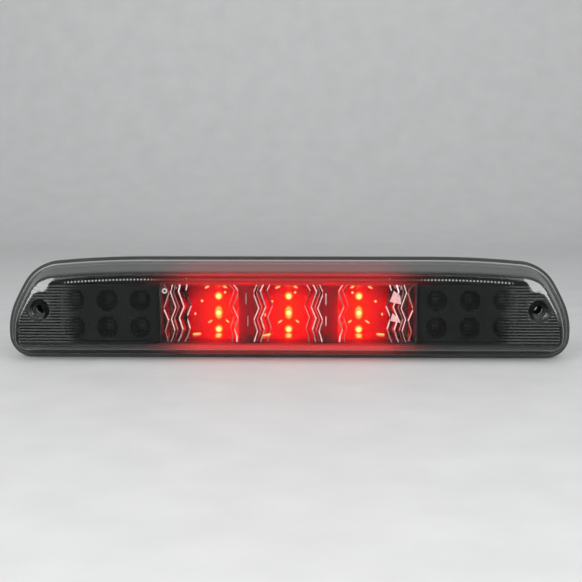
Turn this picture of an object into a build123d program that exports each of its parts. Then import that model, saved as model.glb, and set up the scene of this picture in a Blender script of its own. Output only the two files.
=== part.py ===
from build123d import *
import os

# Third brake light. Millimetres. X runs along the lamp, the lens faces -Y, +Z is up.
# The origin is on the mounting plane (the gasket's rear face), midway between the two screw holes.

# ---- overall outline: the housing rim, seen from the front ----
STRAIGHT_TOP_HALF = 100.0
RIM_TOP_Z = 36.0
# arcs from the end of the straight top down to the straight bottom: radius, turn in degrees
RIM_ARCS = [(700.0, 5.3), (30.5, 53.0), (140.0, 7.0), (50.0, 30.0), (15.8, 84.7)]

# ---- depths, front to back ----
FACE_Y = -30.0
RIM_FRONT_Y = -8.0
CHANNEL_FLOOR_Y = -5.5
FLANGE_REAR_Y = -3.0
MOUNTING_Y = 0.0
BOX_REAR_Y = 18.0

# ---- lens and its channel ----
RIM_WALL = 2.2
GLUE_GAP = 0.3
LENS_WALL = 2.5
LENS_INSET = RIM_WALL + GLUE_GAP
LENS_FLARE = 7.15
FACE_FILLET = 4.5
FOOT_REAR_Y = -6.2
INNER_CHANNEL_INSET = LENS_INSET + LENS_WALL + 0.4
INNER_CHANNEL_WALL = 1.8
INNER_CHANNEL_FRONT_Y = -8.4

# ---- horizontal optic flutes inside the lens, either side of the clear window ----
FLUTE_PITCH = 2.07
FLUTE_HEIGHT = 0.45
FLUTE_COUNT = 21
FLUTE_ROOT_DEPTH = 1.0
FLUTE_INNER_X = 91.0
FLUTE_OUTER_X = 188.0

# ---- screw holes through lens and housing ----
SCREW_SPACING = 350.0
SCREW_X = SCREW_SPACING / 2
SCREW_HOLE_RADIUS = 3.2
HEAD_RECESS_RADIUS = 4.75
HEAD_RECESS_DEPTH = 11.0
SCREW_TUBE_RADIUS = 8.4
SCREW_TUBE_REAR_Y = -16.5
PILLAR_RADIUS = 7.0

# ---- housing rear box, which sits in the cab opening ----
BOX_HALF_LENGTH = 75.0
BOX_TOP_Z = 20.0
BOX_BOTTOM_Z = -26.3
BOX_WALL = 2.5
BOX_CORNER_RADIUS = 6.0
BOX_EDGE_RADIUS = 1.5

# ---- gasket ----
GASKET_INSET = 2.5
GASKET_WIDTH = 6.0
GASKET_PAD_RADIUS = 9.0

# ---- brake section ----
WINDOW_HALF_LENGTH = 89.0
WINDOW_TOP_Z = 18.1
WINDOW_BOTTOM_Z = -22.5
REFLECTOR_FRONT_Y = -24.0
REFLECTOR_FLOOR_Y = 1.0
REFLECTOR_WALL = 1.5
CELL_WINDOWS = [(-89.0, -34.0), (-25.3, 25.3), (34.0, 89.0)]
CELL_CENTRES = [-50.5, 0.0, 50.5]
CELL_FLOOR_HALF = 8.0
CELL_FLOOR_TOP_Z = 12.0
CELL_FLOOR_BOTTOM_Z = -21.0
LED_ROWS_Z = [7.0, -5.0, -17.0]
LED_RADIUS = 2.5
LED_FLANGE_RADIUS = 2.9
LED_FLANGE_HEIGHT = 1.0
LED_DOME_CENTRE_Y = 0.9
LED_CLEARANCE = 0.3
LED_LEG_OFFSET = 1.27
LED_LEG_RADIUS = 0.25
LED_LEG_REAR_Y = 10.4
SOLDER_RADIUS = 0.9
SOLDER_HEIGHT = 1.2
SOLDER_TIP_RADIUS = 0.35

BOARD_THICKNESS = 1.6
BRAKE_BOARD_Y = 7.0
BRAKE_BOARD_REAR_Y = BRAKE_BOARD_Y + BOARD_THICKNESS
BRAKE_BOARD_HALF_LENGTH = 64.0
BRAKE_BOARD_TOP_Z = 14.5
BRAKE_BOARD_BOTTOM_Z = -20.5
LEG_HOLE_RADIUS = 0.45
BOARD_CORNER_RADIUS = 2.0

# parts on the back of the brake board
AXIAL_ROW_Z = 9.0
AXIAL_SPAN = 9.6
AXIAL_LIFT = 0.1
AXIAL_LEAD_RADIUS = 0.3
AXIAL_LEG_RADIUS = 0.27
RESISTOR_COLUMNS_X = [-24.0, 24.0, 40.0]
RESISTOR_RADIUS = 1.2
RESISTOR_LENGTH = 6.4
DIODE_X = -40.0
DIODE_RADIUS = 1.35
DIODE_LENGTH = 5.2
HEADER_POINT = (24.5, -14.0)
HEADER_LENGTH = 10.0
HEADER_WIDTH = 6.0
HEADER_HEIGHT = 6.0
HEADER_WALL = 1.0
HEADER_CORNER_RADIUS = 0.6
SOCKET_DEPTH = 4.5
PIN_PITCH = 2.5
PIN_RADIUS = 0.4
PIN_SINK = 1.0

# four screws hold reflector and board to the box
REFLECTOR_SCREW_POINTS = [(x, z) for x in (-57.0, 57.0) for z in (1.0, -11.0)]
BOSS_RADIUS = 3.2
PILOT_RADIUS = 1.25
CLEARANCE_RADIUS = 1.6
SCREW_RADIUS = 1.25
SCREW_HEAD_RADIUS = 2.6
SCREW_HEAD_HEIGHT = 1.8
SCREW_HEAD_FILLET = 0.8
SCREW_REACH = 3.8
REFLECTOR_BOSS_RADIUS = 2.6
BOSS_OVERLAP = 0.5
DRIVE_SLOT_LENGTH = 2.8
DRIVE_SLOT_WIDTH = 0.6
DRIVE_SLOT_DEPTH = 0.9

# ---- cargo sections ----
POCKET_COLUMNS_X = [104.2, 127.5, 150.9]
POCKET_ROWS_Z = [6.6, -12.6]
POCKET_RADIUS = 7.6
POCKET_FLOOR_RADIUS = 6.2
POCKET_WALL = 1.2
POCKET_LED_HOLE_RADIUS = 2.8
BEZEL_FRONT_Y = -21.0
BEZEL_PLATE = 1.5
BEZEL_FLOOR_Y = -9.9
BEZEL_INNER_X = 91.3
BEZEL_OUTER_X = 160.5
BEZEL_CORNER_RADIUS = 10.0
CARGO_BOARD_Y = -9.6
CARGO_BOARD_REAR_Y = CARGO_BOARD_Y + BOARD_THICKNESS
CARGO_BOARD_INNER_X = 93.0
CARGO_BOARD_OUTER_X = 160.0
CARGO_BOARD_TOP_Z = 15.0
CARGO_BOARD_BOTTOM_Z = -20.0
BEZEL_SCREW_POINTS = [(115.85, -3.0), (139.2, -3.0)]
BEZEL_PILLAR_RADIUS = 2.4
COUNTERSINK_RADIUS = 2.6
COUNTERSINK_ANGLE = 90.0
BEZEL_PILOT_DEPTH = 7.0
BEZEL_SCREW_REACH = 6.0
BEZEL_HEAD_RADIUS = 2.4
BEZEL_HEAD_SINK = 0.05
BEZEL_SHANK_SINK = 0.5
LED_PACKAGE_WIDTH = 3.5
LED_PACKAGE_DEPTH = 2.8
LED_PACKAGE_HEIGHT = 1.9
CHIP_POINTS = [(157.4, -1.8), (157.4, -4.2)]
CHIP_LENGTH = 3.2
CHIP_WIDTH = 1.6
CHIP_HEIGHT = 0.6

# ---- wire inlet and vent ----
GROMMET_POINT = (0.0, -3.0)
GROMMET_HOLE_RADIUS = 6.0
GROMMET_FLANGE_RADIUS = 8.5
GROMMET_INNER_RADIUS = 7.2
GROMMET_BORE_RADIUS = 2.8
GROMMET_FLANGE_THICKNESS = 2.2
GROMMET_FILLET = 0.8
VENT_POINT = (-34.0, -3.0)
VENT_STEM_RADIUS = 3.0
VENT_CAP_RADIUS = 5.5
VENT_CAP_HEIGHT = 1.8
VENT_SLOT_WIDTH = 1.0
VENT_SLOT_OVERRUN = 0.5
VENT_FILLET = 0.6

# ---- wires between the boards ----
WIRE_RADIUS = 0.6
WIRE_BEND_RADIUS = 1.0
WIRE_LEVELS_Z = [8.0, 10.6]
WIRE_START_X = 97.0
WIRE_GAP_Y = -6.8
WIRE_DROP_X = 71.7
WIRE_BACK_Y = 12.0
WIRE_END_X = 61.5

SIDES = {"left": -1, "right": 1}


def facing(depth):
    """Plane at a depth, facing forwards: its x is the lamp's X and its y is the lamp's Z."""
    return Plane(origin=(0, depth, 0), x_dir=(1, 0, 0), z_dir=(0, -1, 0))


def save(piece, name):
    """Label a finished piece and write its STEP."""
    piece.part.label = name
    export_step(piece.part, f"parts/{name}.step")


# ---- the rim outline, used by every piece that follows the lamp's edge ----
def outline(inset=0.0):
    """The lamp's outline moved inwards: each arc keeps its turn and loses the inset from its radius."""
    with BuildSketch() as shape:
        with BuildLine():
            edge = Line((0, RIM_TOP_Z - inset), (STRAIGHT_TOP_HALF, RIM_TOP_Z - inset))
            for radius, turn in RIM_ARCS:
                edge = JernArc(edge @ 1, edge % 1, radius - inset, -turn)
            Line(edge @ 1, (0, (edge @ 1).Y))
            mirror(about=Plane.YZ)
        make_face()
    return shape.sketch


def rim_band(outer_inset, inner_inset):
    """Add the band between two insets of the outline to the sketch in hand."""
    add(outline(outer_inset))
    add(outline(inner_inset), mode=Mode.SUBTRACT)


def rim_slab(inset, rear_y, front_y, mode=Mode.ADD):
    """A flat slab of the outline between two depths."""
    with BuildSketch(facing(rear_y)) as slab:
        add(outline(inset))
    extrude(to_extrude=slab.sketch, amount=rear_y - front_y, mode=mode)


def rim_taper(rear_inset, rear_y, front_inset, front_y, mode=Mode.ADD):
    """A body of the outline that narrows evenly from one depth forwards to another."""
    with BuildSketch(facing(rear_y)) as rear:
        add(outline(rear_inset))
    with BuildSketch(facing(front_y)) as front:
        add(outline(front_inset))
    loft([rear.sketch.face(), front.sketch.face()], ruled=True, mode=mode)


def block(x_range, z_range, corner_radius=0.0):
    """Add a rectangle between X and Z limits to the sketch in hand, with optional round corners."""
    width = x_range[1] - x_range[0]
    height = z_range[1] - z_range[0]
    centre = ((x_range[0] + x_range[1]) / 2, (z_range[0] + z_range[1]) / 2)
    with Locations(centre):
        if corner_radius:
            RectangleRounded(width, height, corner_radius)
        else:
            Rectangle(width, height)


def post(points, radius, from_y, to_y, mode=Mode.ADD):
    """Round posts, or holes, along Y at each (x, z) point, from one depth forwards to another."""
    with BuildSketch(facing(from_y)) as discs:
        with Locations(*points):
            Circle(radius)
    extrude(to_extrude=discs.sketch, amount=from_y - to_y, mode=mode)


def side_points(points, side):
    """The same points on the left or the right half of the lamp."""
    return [(side * x, z) for x, z in points]


def side_range(inner, outer, side):
    """An X range on one half, given its inner and outer distance from the middle."""
    return (inner, outer) if side > 0 else (-outer, -inner)


SCREW_POINTS = [(-SCREW_X, 0), (SCREW_X, 0)]
BRAKE_LED_POINTS = [(x, z) for x in CELL_CENTRES for z in LED_ROWS_Z]
POCKET_POINTS = [(x, z) for x in POCKET_COLUMNS_X for z in POCKET_ROWS_Z]


# ---- lens ----
def make_flutes():
    """Rows of half-round ribs, cut to the shape of the lens's hollow, for both ends of the lamp."""
    bank_top = FLUTE_PITCH * FLUTE_COUNT / 2
    crest_y = FACE_Y + LENS_WALL + FLUTE_HEIGHT
    root_y = FACE_Y + LENS_WALL
    buried_y = root_y - FLUTE_ROOT_DEPTH
    with BuildPart() as flutes:
        with BuildSketch(Plane.YZ.offset(FLUTE_INNER_X)):
            with BuildLine():
                Polyline(
                    (root_y, bank_top),
                    (buried_y, bank_top),
                    (buried_y, -bank_top),
                    (root_y, -bank_top),
                )
                for index in range(FLUTE_COUNT):
                    base = -bank_top + index * FLUTE_PITCH
                    crest = (crest_y, base + FLUTE_PITCH / 2)
                    ThreePointArc((root_y, base), crest, (root_y, base + FLUTE_PITCH))
            make_face()
        extrude(amount=FLUTE_OUTER_X - FLUTE_INNER_X)
        mirror(about=Plane.YZ)
        wall_middle = LENS_INSET + LENS_WALL / 2
        rim_taper(wall_middle, RIM_FRONT_Y, wall_middle + LENS_FLARE, FACE_Y, Mode.INTERSECT)
    return flutes


def make_lens():
    """Clear cover: flared wall, rounded face edge, foot for the channel, and a screw tube at each end."""
    flutes = make_flutes()
    inner_y = FACE_Y + LENS_WALL
    inner_flare = LENS_FLARE * (RIM_FRONT_Y - inner_y) / (RIM_FRONT_Y - FACE_Y)
    inner_inset = LENS_INSET + LENS_WALL
    with BuildPart() as lens:
        rim_taper(LENS_INSET, RIM_FRONT_Y, LENS_INSET + LENS_FLARE, FACE_Y)
        fillet(lens.faces().sort_by(Axis.Y)[0].edges(), FACE_FILLET)
        rim_slab(LENS_INSET, FOOT_REAR_Y, RIM_FRONT_Y)
        rim_taper(inner_inset, RIM_FRONT_Y, inner_inset + inner_flare, inner_y, Mode.SUBTRACT)
        rim_slab(inner_inset, FOOT_REAR_Y, RIM_FRONT_Y, Mode.SUBTRACT)
        add(flutes.part)
        post(SCREW_POINTS, SCREW_TUBE_RADIUS, SCREW_TUBE_REAR_Y, FACE_Y + LENS_WALL / 2)
        post(SCREW_POINTS, SCREW_HOLE_RADIUS, SCREW_TUBE_REAR_Y, FACE_Y, mode=Mode.SUBTRACT)
        post(SCREW_POINTS, HEAD_RECESS_RADIUS, FACE_Y + HEAD_RECESS_DEPTH, FACE_Y, mode=Mode.SUBTRACT)
    save(lens, "lens")


# ---- housing and seals ----
def make_housing():
    """Black tray: flange with a glue channel, screw pillars, and a box behind the brake cells."""
    box_x = (-BOX_HALF_LENGTH, BOX_HALF_LENGTH)
    box_z = (BOX_BOTTOM_Z, BOX_TOP_Z)
    hollow_x = (box_x[0] + BOX_WALL, box_x[1] - BOX_WALL)
    hollow_z = (box_z[0] + BOX_WALL, box_z[1] - BOX_WALL)
    board_screws = side_points(BEZEL_SCREW_POINTS, 1) + side_points(BEZEL_SCREW_POINTS, -1)
    inner_wall_inset = INNER_CHANNEL_INSET + INNER_CHANNEL_WALL
    post_length = FLANGE_REAR_Y - CARGO_BOARD_REAR_Y
    with BuildPart() as housing:
        rim_slab(0, FLANGE_REAR_Y, CHANNEL_FLOOR_Y)
        with BuildSketch(facing(CHANNEL_FLOOR_Y)):
            rim_band(0, RIM_WALL)
        extrude(amount=CHANNEL_FLOOR_Y - RIM_FRONT_Y)
        with BuildSketch(facing(CHANNEL_FLOOR_Y)):
            rim_band(INNER_CHANNEL_INSET, inner_wall_inset)
        extrude(amount=CHANNEL_FLOOR_Y - INNER_CHANNEL_FRONT_Y)
        with BuildSketch(facing(BOX_REAR_Y)):
            block(box_x, box_z, BOX_CORNER_RADIUS)
        extrude(amount=BOX_REAR_Y - FLANGE_REAR_Y)
        with BuildSketch(facing(BOX_REAR_Y - BOX_WALL)):
            block(hollow_x, hollow_z, BOX_CORNER_RADIUS - BOX_WALL)
        extrude(amount=BOX_REAR_Y - BOX_WALL - CHANNEL_FLOOR_Y, mode=Mode.SUBTRACT)
        post(SCREW_POINTS, PILLAR_RADIUS, CHANNEL_FLOOR_Y, SCREW_TUBE_REAR_Y)
        post(SCREW_POINTS, SCREW_HOLE_RADIUS, FLANGE_REAR_Y, SCREW_TUBE_REAR_Y, mode=Mode.SUBTRACT)
        post(REFLECTOR_SCREW_POINTS, BOSS_RADIUS, BOX_REAR_Y - BOX_WALL, BRAKE_BOARD_REAR_Y)
        post(REFLECTOR_SCREW_POINTS, CLEARANCE_RADIUS, BOX_REAR_Y, BRAKE_BOARD_REAR_Y, mode=Mode.SUBTRACT)
        post(board_screws, BOSS_RADIUS, CHANNEL_FLOOR_Y, CARGO_BOARD_REAR_Y)
        with Locations(*[Location((x, FLANGE_REAR_Y, z), (-90, 0, 0)) for x, z in board_screws]):
            CounterSinkHole(CLEARANCE_RADIUS, COUNTERSINK_RADIUS, post_length, COUNTERSINK_ANGLE)
        post([GROMMET_POINT], GROMMET_HOLE_RADIUS, BOX_REAR_Y, BOX_REAR_Y - BOX_WALL, mode=Mode.SUBTRACT)
        post([VENT_POINT], VENT_STEM_RADIUS, BOX_REAR_Y, BOX_REAR_Y - BOX_WALL, mode=Mode.SUBTRACT)
        fillet(housing.faces().sort_by(Axis.Y)[-1].outer_wire().edges(), BOX_EDGE_RADIUS)
    save(housing, "housing")


def make_sealant():
    """Adhesive bead under the lens foot, filling the channel."""
    with BuildPart() as sealant:
        with BuildSketch(facing(CHANNEL_FLOOR_Y)):
            rim_band(RIM_WALL, INNER_CHANNEL_INSET)
        extrude(amount=CHANNEL_FLOOR_Y - FOOT_REAR_Y)
    save(sealant, "lens_sealant")


def make_gasket():
    """Foam ring that seals the lamp against the cab, with a pad round each screw hole."""
    pad_reach = SCREW_X + GASKET_PAD_RADIUS + GASKET_WIDTH
    with BuildPart() as gasket:
        with BuildSketch(facing(MOUNTING_Y)):
            rim_band(GASKET_INSET, GASKET_INSET + GASKET_WIDTH)
            with Locations(*SCREW_POINTS):
                Circle(GASKET_PAD_RADIUS)
            for side in SIDES.values():
                block(side_range(SCREW_X, pad_reach, side), (-GASKET_WIDTH, GASKET_WIDTH))
            add(outline(GASKET_INSET), mode=Mode.INTERSECT)
            with Locations(*SCREW_POINTS):
                Circle(SCREW_HOLE_RADIUS, mode=Mode.SUBTRACT)
        extrude(amount=MOUNTING_Y - FLANGE_REAR_Y)
    save(gasket, "cab_gasket")


# ---- brake section ----
def cell_funnel(window, centre, wall, front_y, floor_y, mode):
    """One cell of the reflector, lofted from its window back to its floor, grown by a wall."""
    floor_x = (centre - CELL_FLOOR_HALF - wall, centre + CELL_FLOOR_HALF + wall)
    with BuildSketch(facing(floor_y)) as cell_floor:
        block(floor_x, (CELL_FLOOR_BOTTOM_Z - wall, CELL_FLOOR_TOP_Z + wall))
    with BuildSketch(facing(front_y)) as cell_mouth:
        block((window[0] - wall, window[1] + wall), (WINDOW_BOTTOM_Z - wall, WINDOW_TOP_Z + wall))
    loft([cell_floor.sketch.face(), cell_mouth.sketch.face()], mode=mode)


def make_reflector():
    """Chromed reflector: three funnels behind one front frame, holes for the LEDs and screw bosses."""
    frame_x = (-WINDOW_HALF_LENGTH - REFLECTOR_WALL, WINDOW_HALF_LENGTH + REFLECTOR_WALL)
    frame_z = (WINDOW_BOTTOM_Z - REFLECTOR_WALL, WINDOW_TOP_Z + REFLECTOR_WALL)
    floor_rear_y = REFLECTOR_FLOOR_Y + REFLECTOR_WALL
    with BuildPart() as reflector:
        with BuildSketch(facing(REFLECTOR_FRONT_Y + REFLECTOR_WALL)):
            block(frame_x, frame_z, REFLECTOR_WALL)
        extrude(amount=REFLECTOR_WALL)
        for window, centre in zip(CELL_WINDOWS, CELL_CENTRES):
            cell_funnel(window, centre, REFLECTOR_WALL, REFLECTOR_FRONT_Y, floor_rear_y, Mode.ADD)
        for window, centre in zip(CELL_WINDOWS, CELL_CENTRES):
            cell_funnel(window, centre, 0, REFLECTOR_FRONT_Y, REFLECTOR_FLOOR_Y, Mode.SUBTRACT)
        post(REFLECTOR_SCREW_POINTS, REFLECTOR_BOSS_RADIUS, BRAKE_BOARD_Y, floor_rear_y - BOSS_OVERLAP)
        post(REFLECTOR_SCREW_POINTS, PILOT_RADIUS, BRAKE_BOARD_Y, floor_rear_y, mode=Mode.SUBTRACT)
        post(BRAKE_LED_POINTS, LED_RADIUS + LED_CLEARANCE, floor_rear_y, REFLECTOR_FLOOR_Y, mode=Mode.SUBTRACT)
    save(reflector, "brake_reflector")


def make_brake_board():
    """Circuit board behind the brake cells."""
    legs = [(x + sign * LED_LEG_OFFSET, z) for x, z in BRAKE_LED_POINTS for sign in (-1, 1)]
    with BuildPart() as board:
        with BuildSketch(facing(BRAKE_BOARD_REAR_Y)):
            block(
                (-BRAKE_BOARD_HALF_LENGTH, BRAKE_BOARD_HALF_LENGTH),
                (BRAKE_BOARD_BOTTOM_Z, BRAKE_BOARD_TOP_Z),
                BOARD_CORNER_RADIUS,
            )
            with Locations(*legs):
                Circle(LEG_HOLE_RADIUS, mode=Mode.SUBTRACT)
            with Locations(*REFLECTOR_SCREW_POINTS):
                Circle(CLEARANCE_RADIUS, mode=Mode.SUBTRACT)
        extrude(amount=BOARD_THICKNESS)
    save(board, "brake_board")


def make_brake_leds():
    """Three columns of three domed LEDs, one column in each cell."""
    for name, x in zip(["left", "center", "right"], CELL_CENTRES):
        points = [(x, z) for z in LED_ROWS_Z]
        with BuildPart() as leds:
            post(points, LED_FLANGE_RADIUS, BRAKE_BOARD_Y, BRAKE_BOARD_Y - LED_FLANGE_HEIGHT)
            post(points, LED_RADIUS, BRAKE_BOARD_Y - LED_FLANGE_HEIGHT, LED_DOME_CENTRE_Y)
            with Locations(*[(px, LED_DOME_CENTRE_Y, pz) for px, pz in points]):
                Sphere(LED_RADIUS)
        save(leds, f"brake_leds_{name}")


def make_led_leads():
    """The legs of the brake LEDs, through the board, each with its cone of solder."""
    legs = [(x + sign * LED_LEG_OFFSET, z) for x, z in BRAKE_LED_POINTS for sign in (-1, 1)]
    cone_y = BRAKE_BOARD_REAR_Y + SOLDER_HEIGHT / 2
    with BuildPart() as leads:
        post(legs, LED_LEG_RADIUS, LED_LEG_REAR_Y, BRAKE_BOARD_Y)
        with Locations(*[Location((x, cone_y, z), (-90, 0, 0)) for x, z in legs]):
            Cone(SOLDER_RADIUS, SOLDER_TIP_RADIUS, SOLDER_HEIGHT)
    save(leads, "brake_led_leads")


def axial_part(centre_x, body_radius, body_length):
    """A resistor or diode lying along X on the back of the brake board, with its two bent leads."""
    lift_y = BRAKE_BOARD_REAR_Y + body_radius + AXIAL_LIFT
    with Locations(Location((centre_x, lift_y, AXIAL_ROW_Z), (0, 90, 0))):
        Cylinder(body_radius, body_length)
        Cylinder(AXIAL_LEAD_RADIUS, AXIAL_SPAN + 2 * AXIAL_LEAD_RADIUS)
    ends = [(centre_x + sign * AXIAL_SPAN / 2, AXIAL_ROW_Z) for sign in (-1, 1)]
    post(ends, AXIAL_LEG_RADIUS, lift_y, BRAKE_BOARD_REAR_Y)


def make_brake_components():
    """Resistors, diode and wire socket on the back of the brake board."""
    with BuildPart() as resistors:
        for x in RESISTOR_COLUMNS_X:
            axial_part(x, RESISTOR_RADIUS, RESISTOR_LENGTH)
    save(resistors, "brake_resistors")

    with BuildPart() as diode:
        axial_part(DIODE_X, DIODE_RADIUS, DIODE_LENGTH)
    save(diode, "reverse_diode")

    header_rear_y = BRAKE_BOARD_REAR_Y + HEADER_HEIGHT
    pins = [(HEADER_POINT[0] + step * PIN_PITCH, HEADER_POINT[1]) for step in (-1, 0, 1)]
    with BuildPart() as header:
        with BuildSketch(facing(header_rear_y)):
            with Locations(HEADER_POINT):
                RectangleRounded(HEADER_LENGTH, HEADER_WIDTH, HEADER_CORNER_RADIUS)
        extrude(amount=HEADER_HEIGHT)
        with BuildSketch(facing(header_rear_y)):
            with Locations(HEADER_POINT):
                Rectangle(HEADER_LENGTH - 2 * HEADER_WALL, HEADER_WIDTH - 2 * HEADER_WALL)
        extrude(amount=SOCKET_DEPTH, mode=Mode.SUBTRACT)
        post(pins, PIN_RADIUS, header_rear_y - PIN_SINK, BRAKE_BOARD_REAR_Y + PIN_SINK)
    save(header, "brake_wire_header")


# ---- cargo sections ----
def make_cargo_section(name, side):
    """Bezel, board, LEDs, resistors and screws of one cargo section."""
    pockets = side_points(POCKET_POINTS, side)
    screws = side_points(BEZEL_SCREW_POINTS, side)
    with BuildPart() as bezel:
        with BuildSketch(facing(BEZEL_FRONT_Y + BEZEL_PLATE)) as plate:
            block(side_range(BEZEL_INNER_X, BEZEL_OUTER_X, side), (WINDOW_BOTTOM_Z, WINDOW_TOP_Z))
            outer_corners = plate.vertices().group_by(Axis.X)[-1 if side > 0 else 0]
            fillet(outer_corners, BEZEL_CORNER_RADIUS)
        extrude(amount=BEZEL_PLATE)
        post(pockets, POCKET_RADIUS + POCKET_WALL, BEZEL_FLOOR_Y, BEZEL_FRONT_Y + BEZEL_PLATE)
        with Locations(*pockets_frames(pockets)):
            Cone(
                POCKET_FLOOR_RADIUS,
                POCKET_RADIUS,
                BEZEL_FLOOR_Y - POCKET_WALL - BEZEL_FRONT_Y,
                align=(Align.CENTER, Align.CENTER, Align.MAX),
                mode=Mode.SUBTRACT,
            )
        post(pockets, POCKET_LED_HOLE_RADIUS, BEZEL_FLOOR_Y, BEZEL_FRONT_Y, mode=Mode.SUBTRACT)
        post(screws, BEZEL_PILLAR_RADIUS, CARGO_BOARD_Y, BEZEL_FRONT_Y + BEZEL_PLATE)
        post(screws, PILOT_RADIUS, CARGO_BOARD_Y, CARGO_BOARD_Y - BEZEL_PILOT_DEPTH, mode=Mode.SUBTRACT)
    save(bezel, f"cargo_bezel_{name}")

    with BuildPart() as board:
        with BuildSketch(facing(CARGO_BOARD_REAR_Y)):
            block(
                side_range(CARGO_BOARD_INNER_X, CARGO_BOARD_OUTER_X, side),
                (CARGO_BOARD_BOTTOM_Z, CARGO_BOARD_TOP_Z),
                BOARD_CORNER_RADIUS,
            )
            with Locations(*screws):
                Circle(CLEARANCE_RADIUS, mode=Mode.SUBTRACT)
        extrude(amount=BOARD_THICKNESS)
    save(board, f"cargo_board_{name}")

    with BuildPart() as leds:
        with BuildSketch(facing(CARGO_BOARD_Y)):
            with Locations(*pockets):
                Rectangle(LED_PACKAGE_WIDTH, LED_PACKAGE_DEPTH)
        extrude(amount=LED_PACKAGE_HEIGHT)
    save(leds, f"cargo_leds_{name}")

    with BuildPart() as resistors:
        with BuildSketch(facing(CARGO_BOARD_Y)):
            with Locations(*side_points(CHIP_POINTS, side)):
                Rectangle(CHIP_LENGTH, CHIP_WIDTH)
        extrude(amount=CHIP_HEIGHT)
    save(resistors, f"cargo_resistors_{name}")


def pockets_frames(pockets):
    """Frames at the pocket mouths, each with its Z forwards."""
    return [facing(BEZEL_FRONT_Y).location * Location((x, z, 0)) for x, z in pockets]


# ---- fasteners, wires, inlet and vent ----
def make_screws():
    """Pan-head screws behind the box, and countersunk screws behind each cargo board."""
    tip_y = BRAKE_BOARD_Y - SCREW_REACH
    with BuildPart() as reflector_screws:
        post(REFLECTOR_SCREW_POINTS, SCREW_RADIUS, BOX_REAR_Y, tip_y)
        post(REFLECTOR_SCREW_POINTS, SCREW_HEAD_RADIUS, BOX_REAR_Y + SCREW_HEAD_HEIGHT, BOX_REAR_Y)
        fillet(reflector_screws.edges().filter_by(GeomType.CIRCLE).group_by(Axis.Y)[-1], SCREW_HEAD_FILLET)
        drive_slots(REFLECTOR_SCREW_POINTS, BOX_REAR_Y + SCREW_HEAD_HEIGHT)
    save(reflector_screws, "reflector_screws")

    head_height = COUNTERSINK_RADIUS - SCREW_RADIUS
    head_y = FLANGE_REAR_Y - head_height / 2 - BEZEL_HEAD_SINK
    shank_tip_y = CARGO_BOARD_Y - BEZEL_SCREW_REACH
    for name, side in SIDES.items():
        points = side_points(BEZEL_SCREW_POINTS, side)
        with BuildPart() as bezel_screws:
            post(points, SCREW_RADIUS, FLANGE_REAR_Y - BEZEL_SHANK_SINK, shank_tip_y)
            with Locations(*[Location((x, head_y, z), (-90, 0, 0)) for x, z in points]):
                Cone(SCREW_RADIUS, BEZEL_HEAD_RADIUS, head_height)
            drive_slots(points, FLANGE_REAR_Y)
        save(bezel_screws, f"bezel_screws_{name}")


def drive_slots(points, head_y):
    """Cross recess in each screw head."""
    with BuildSketch(facing(head_y)) as crosses:
        with Locations(*points):
            Rectangle(DRIVE_SLOT_LENGTH, DRIVE_SLOT_WIDTH)
            Rectangle(DRIVE_SLOT_WIDTH, DRIVE_SLOT_LENGTH)
    extrude(to_extrude=crosses.sketch, amount=DRIVE_SLOT_DEPTH, mode=Mode.SUBTRACT)


def make_jumper_wires():
    """Two wires on each side, from the cargo board, over the edge of the box, to the brake board."""
    for name, side in SIDES.items():
        with BuildPart() as wires:
            for z in WIRE_LEVELS_Z:
                route = [
                    (side * WIRE_START_X, CARGO_BOARD_REAR_Y, z),
                    (side * WIRE_START_X, WIRE_GAP_Y, z),
                    (side * WIRE_DROP_X, WIRE_GAP_Y, z),
                    (side * WIRE_DROP_X, WIRE_BACK_Y, z),
                    (side * WIRE_END_X, WIRE_BACK_Y, z),
                    (side * WIRE_END_X, BRAKE_BOARD_REAR_Y, z),
                ]
                with BuildLine() as path:
                    FilletPolyline(*route, radius=WIRE_BEND_RADIUS)
                with BuildSketch(Plane(origin=route[0], z_dir=(0, 1, 0))):
                    Circle(WIRE_RADIUS)
                sweep(path=path.wire())
        save(wires, f"jumper_wires_{name}")


def make_grommet():
    """Rubber gland for the supply wires, gripping the wall of the box on both sides."""
    inner_y = BOX_REAR_Y - BOX_WALL
    with BuildPart() as grommet:
        post([GROMMET_POINT], GROMMET_FLANGE_RADIUS, BOX_REAR_Y + GROMMET_FLANGE_THICKNESS, BOX_REAR_Y)
        post([GROMMET_POINT], GROMMET_HOLE_RADIUS, BOX_REAR_Y, inner_y)
        post([GROMMET_POINT], GROMMET_INNER_RADIUS, inner_y, inner_y - GROMMET_FLANGE_THICKNESS)
        fillet(grommet.edges().filter_by(GeomType.CIRCLE).group_by(Axis.Y)[-1], GROMMET_FILLET)
        post(
            [GROMMET_POINT],
            GROMMET_BORE_RADIUS,
            BOX_REAR_Y + GROMMET_FLANGE_THICKNESS,
            inner_y - GROMMET_FLANGE_THICKNESS,
            mode=Mode.SUBTRACT,
        )
    save(grommet, "wire_grommet")


def make_vent():
    """Vent plug: a stem through the wall of the box under a slotted cap."""
    with BuildPart() as vent:
        post([VENT_POINT], VENT_STEM_RADIUS, BOX_REAR_Y, BOX_REAR_Y - BOX_WALL)
        post([VENT_POINT], VENT_CAP_RADIUS, BOX_REAR_Y + VENT_CAP_HEIGHT, BOX_REAR_Y)
        fillet(vent.edges().filter_by(GeomType.CIRCLE).group_by(Axis.Y)[-1], VENT_FILLET)
        with BuildSketch(facing(BOX_REAR_Y + VENT_CAP_HEIGHT)):
            with Locations(VENT_POINT):
                Rectangle(2 * (VENT_CAP_RADIUS + VENT_SLOT_OVERRUN), VENT_SLOT_WIDTH)
        extrude(amount=VENT_CAP_HEIGHT / 2, mode=Mode.SUBTRACT)
    save(vent, "breather_vent")


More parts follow.
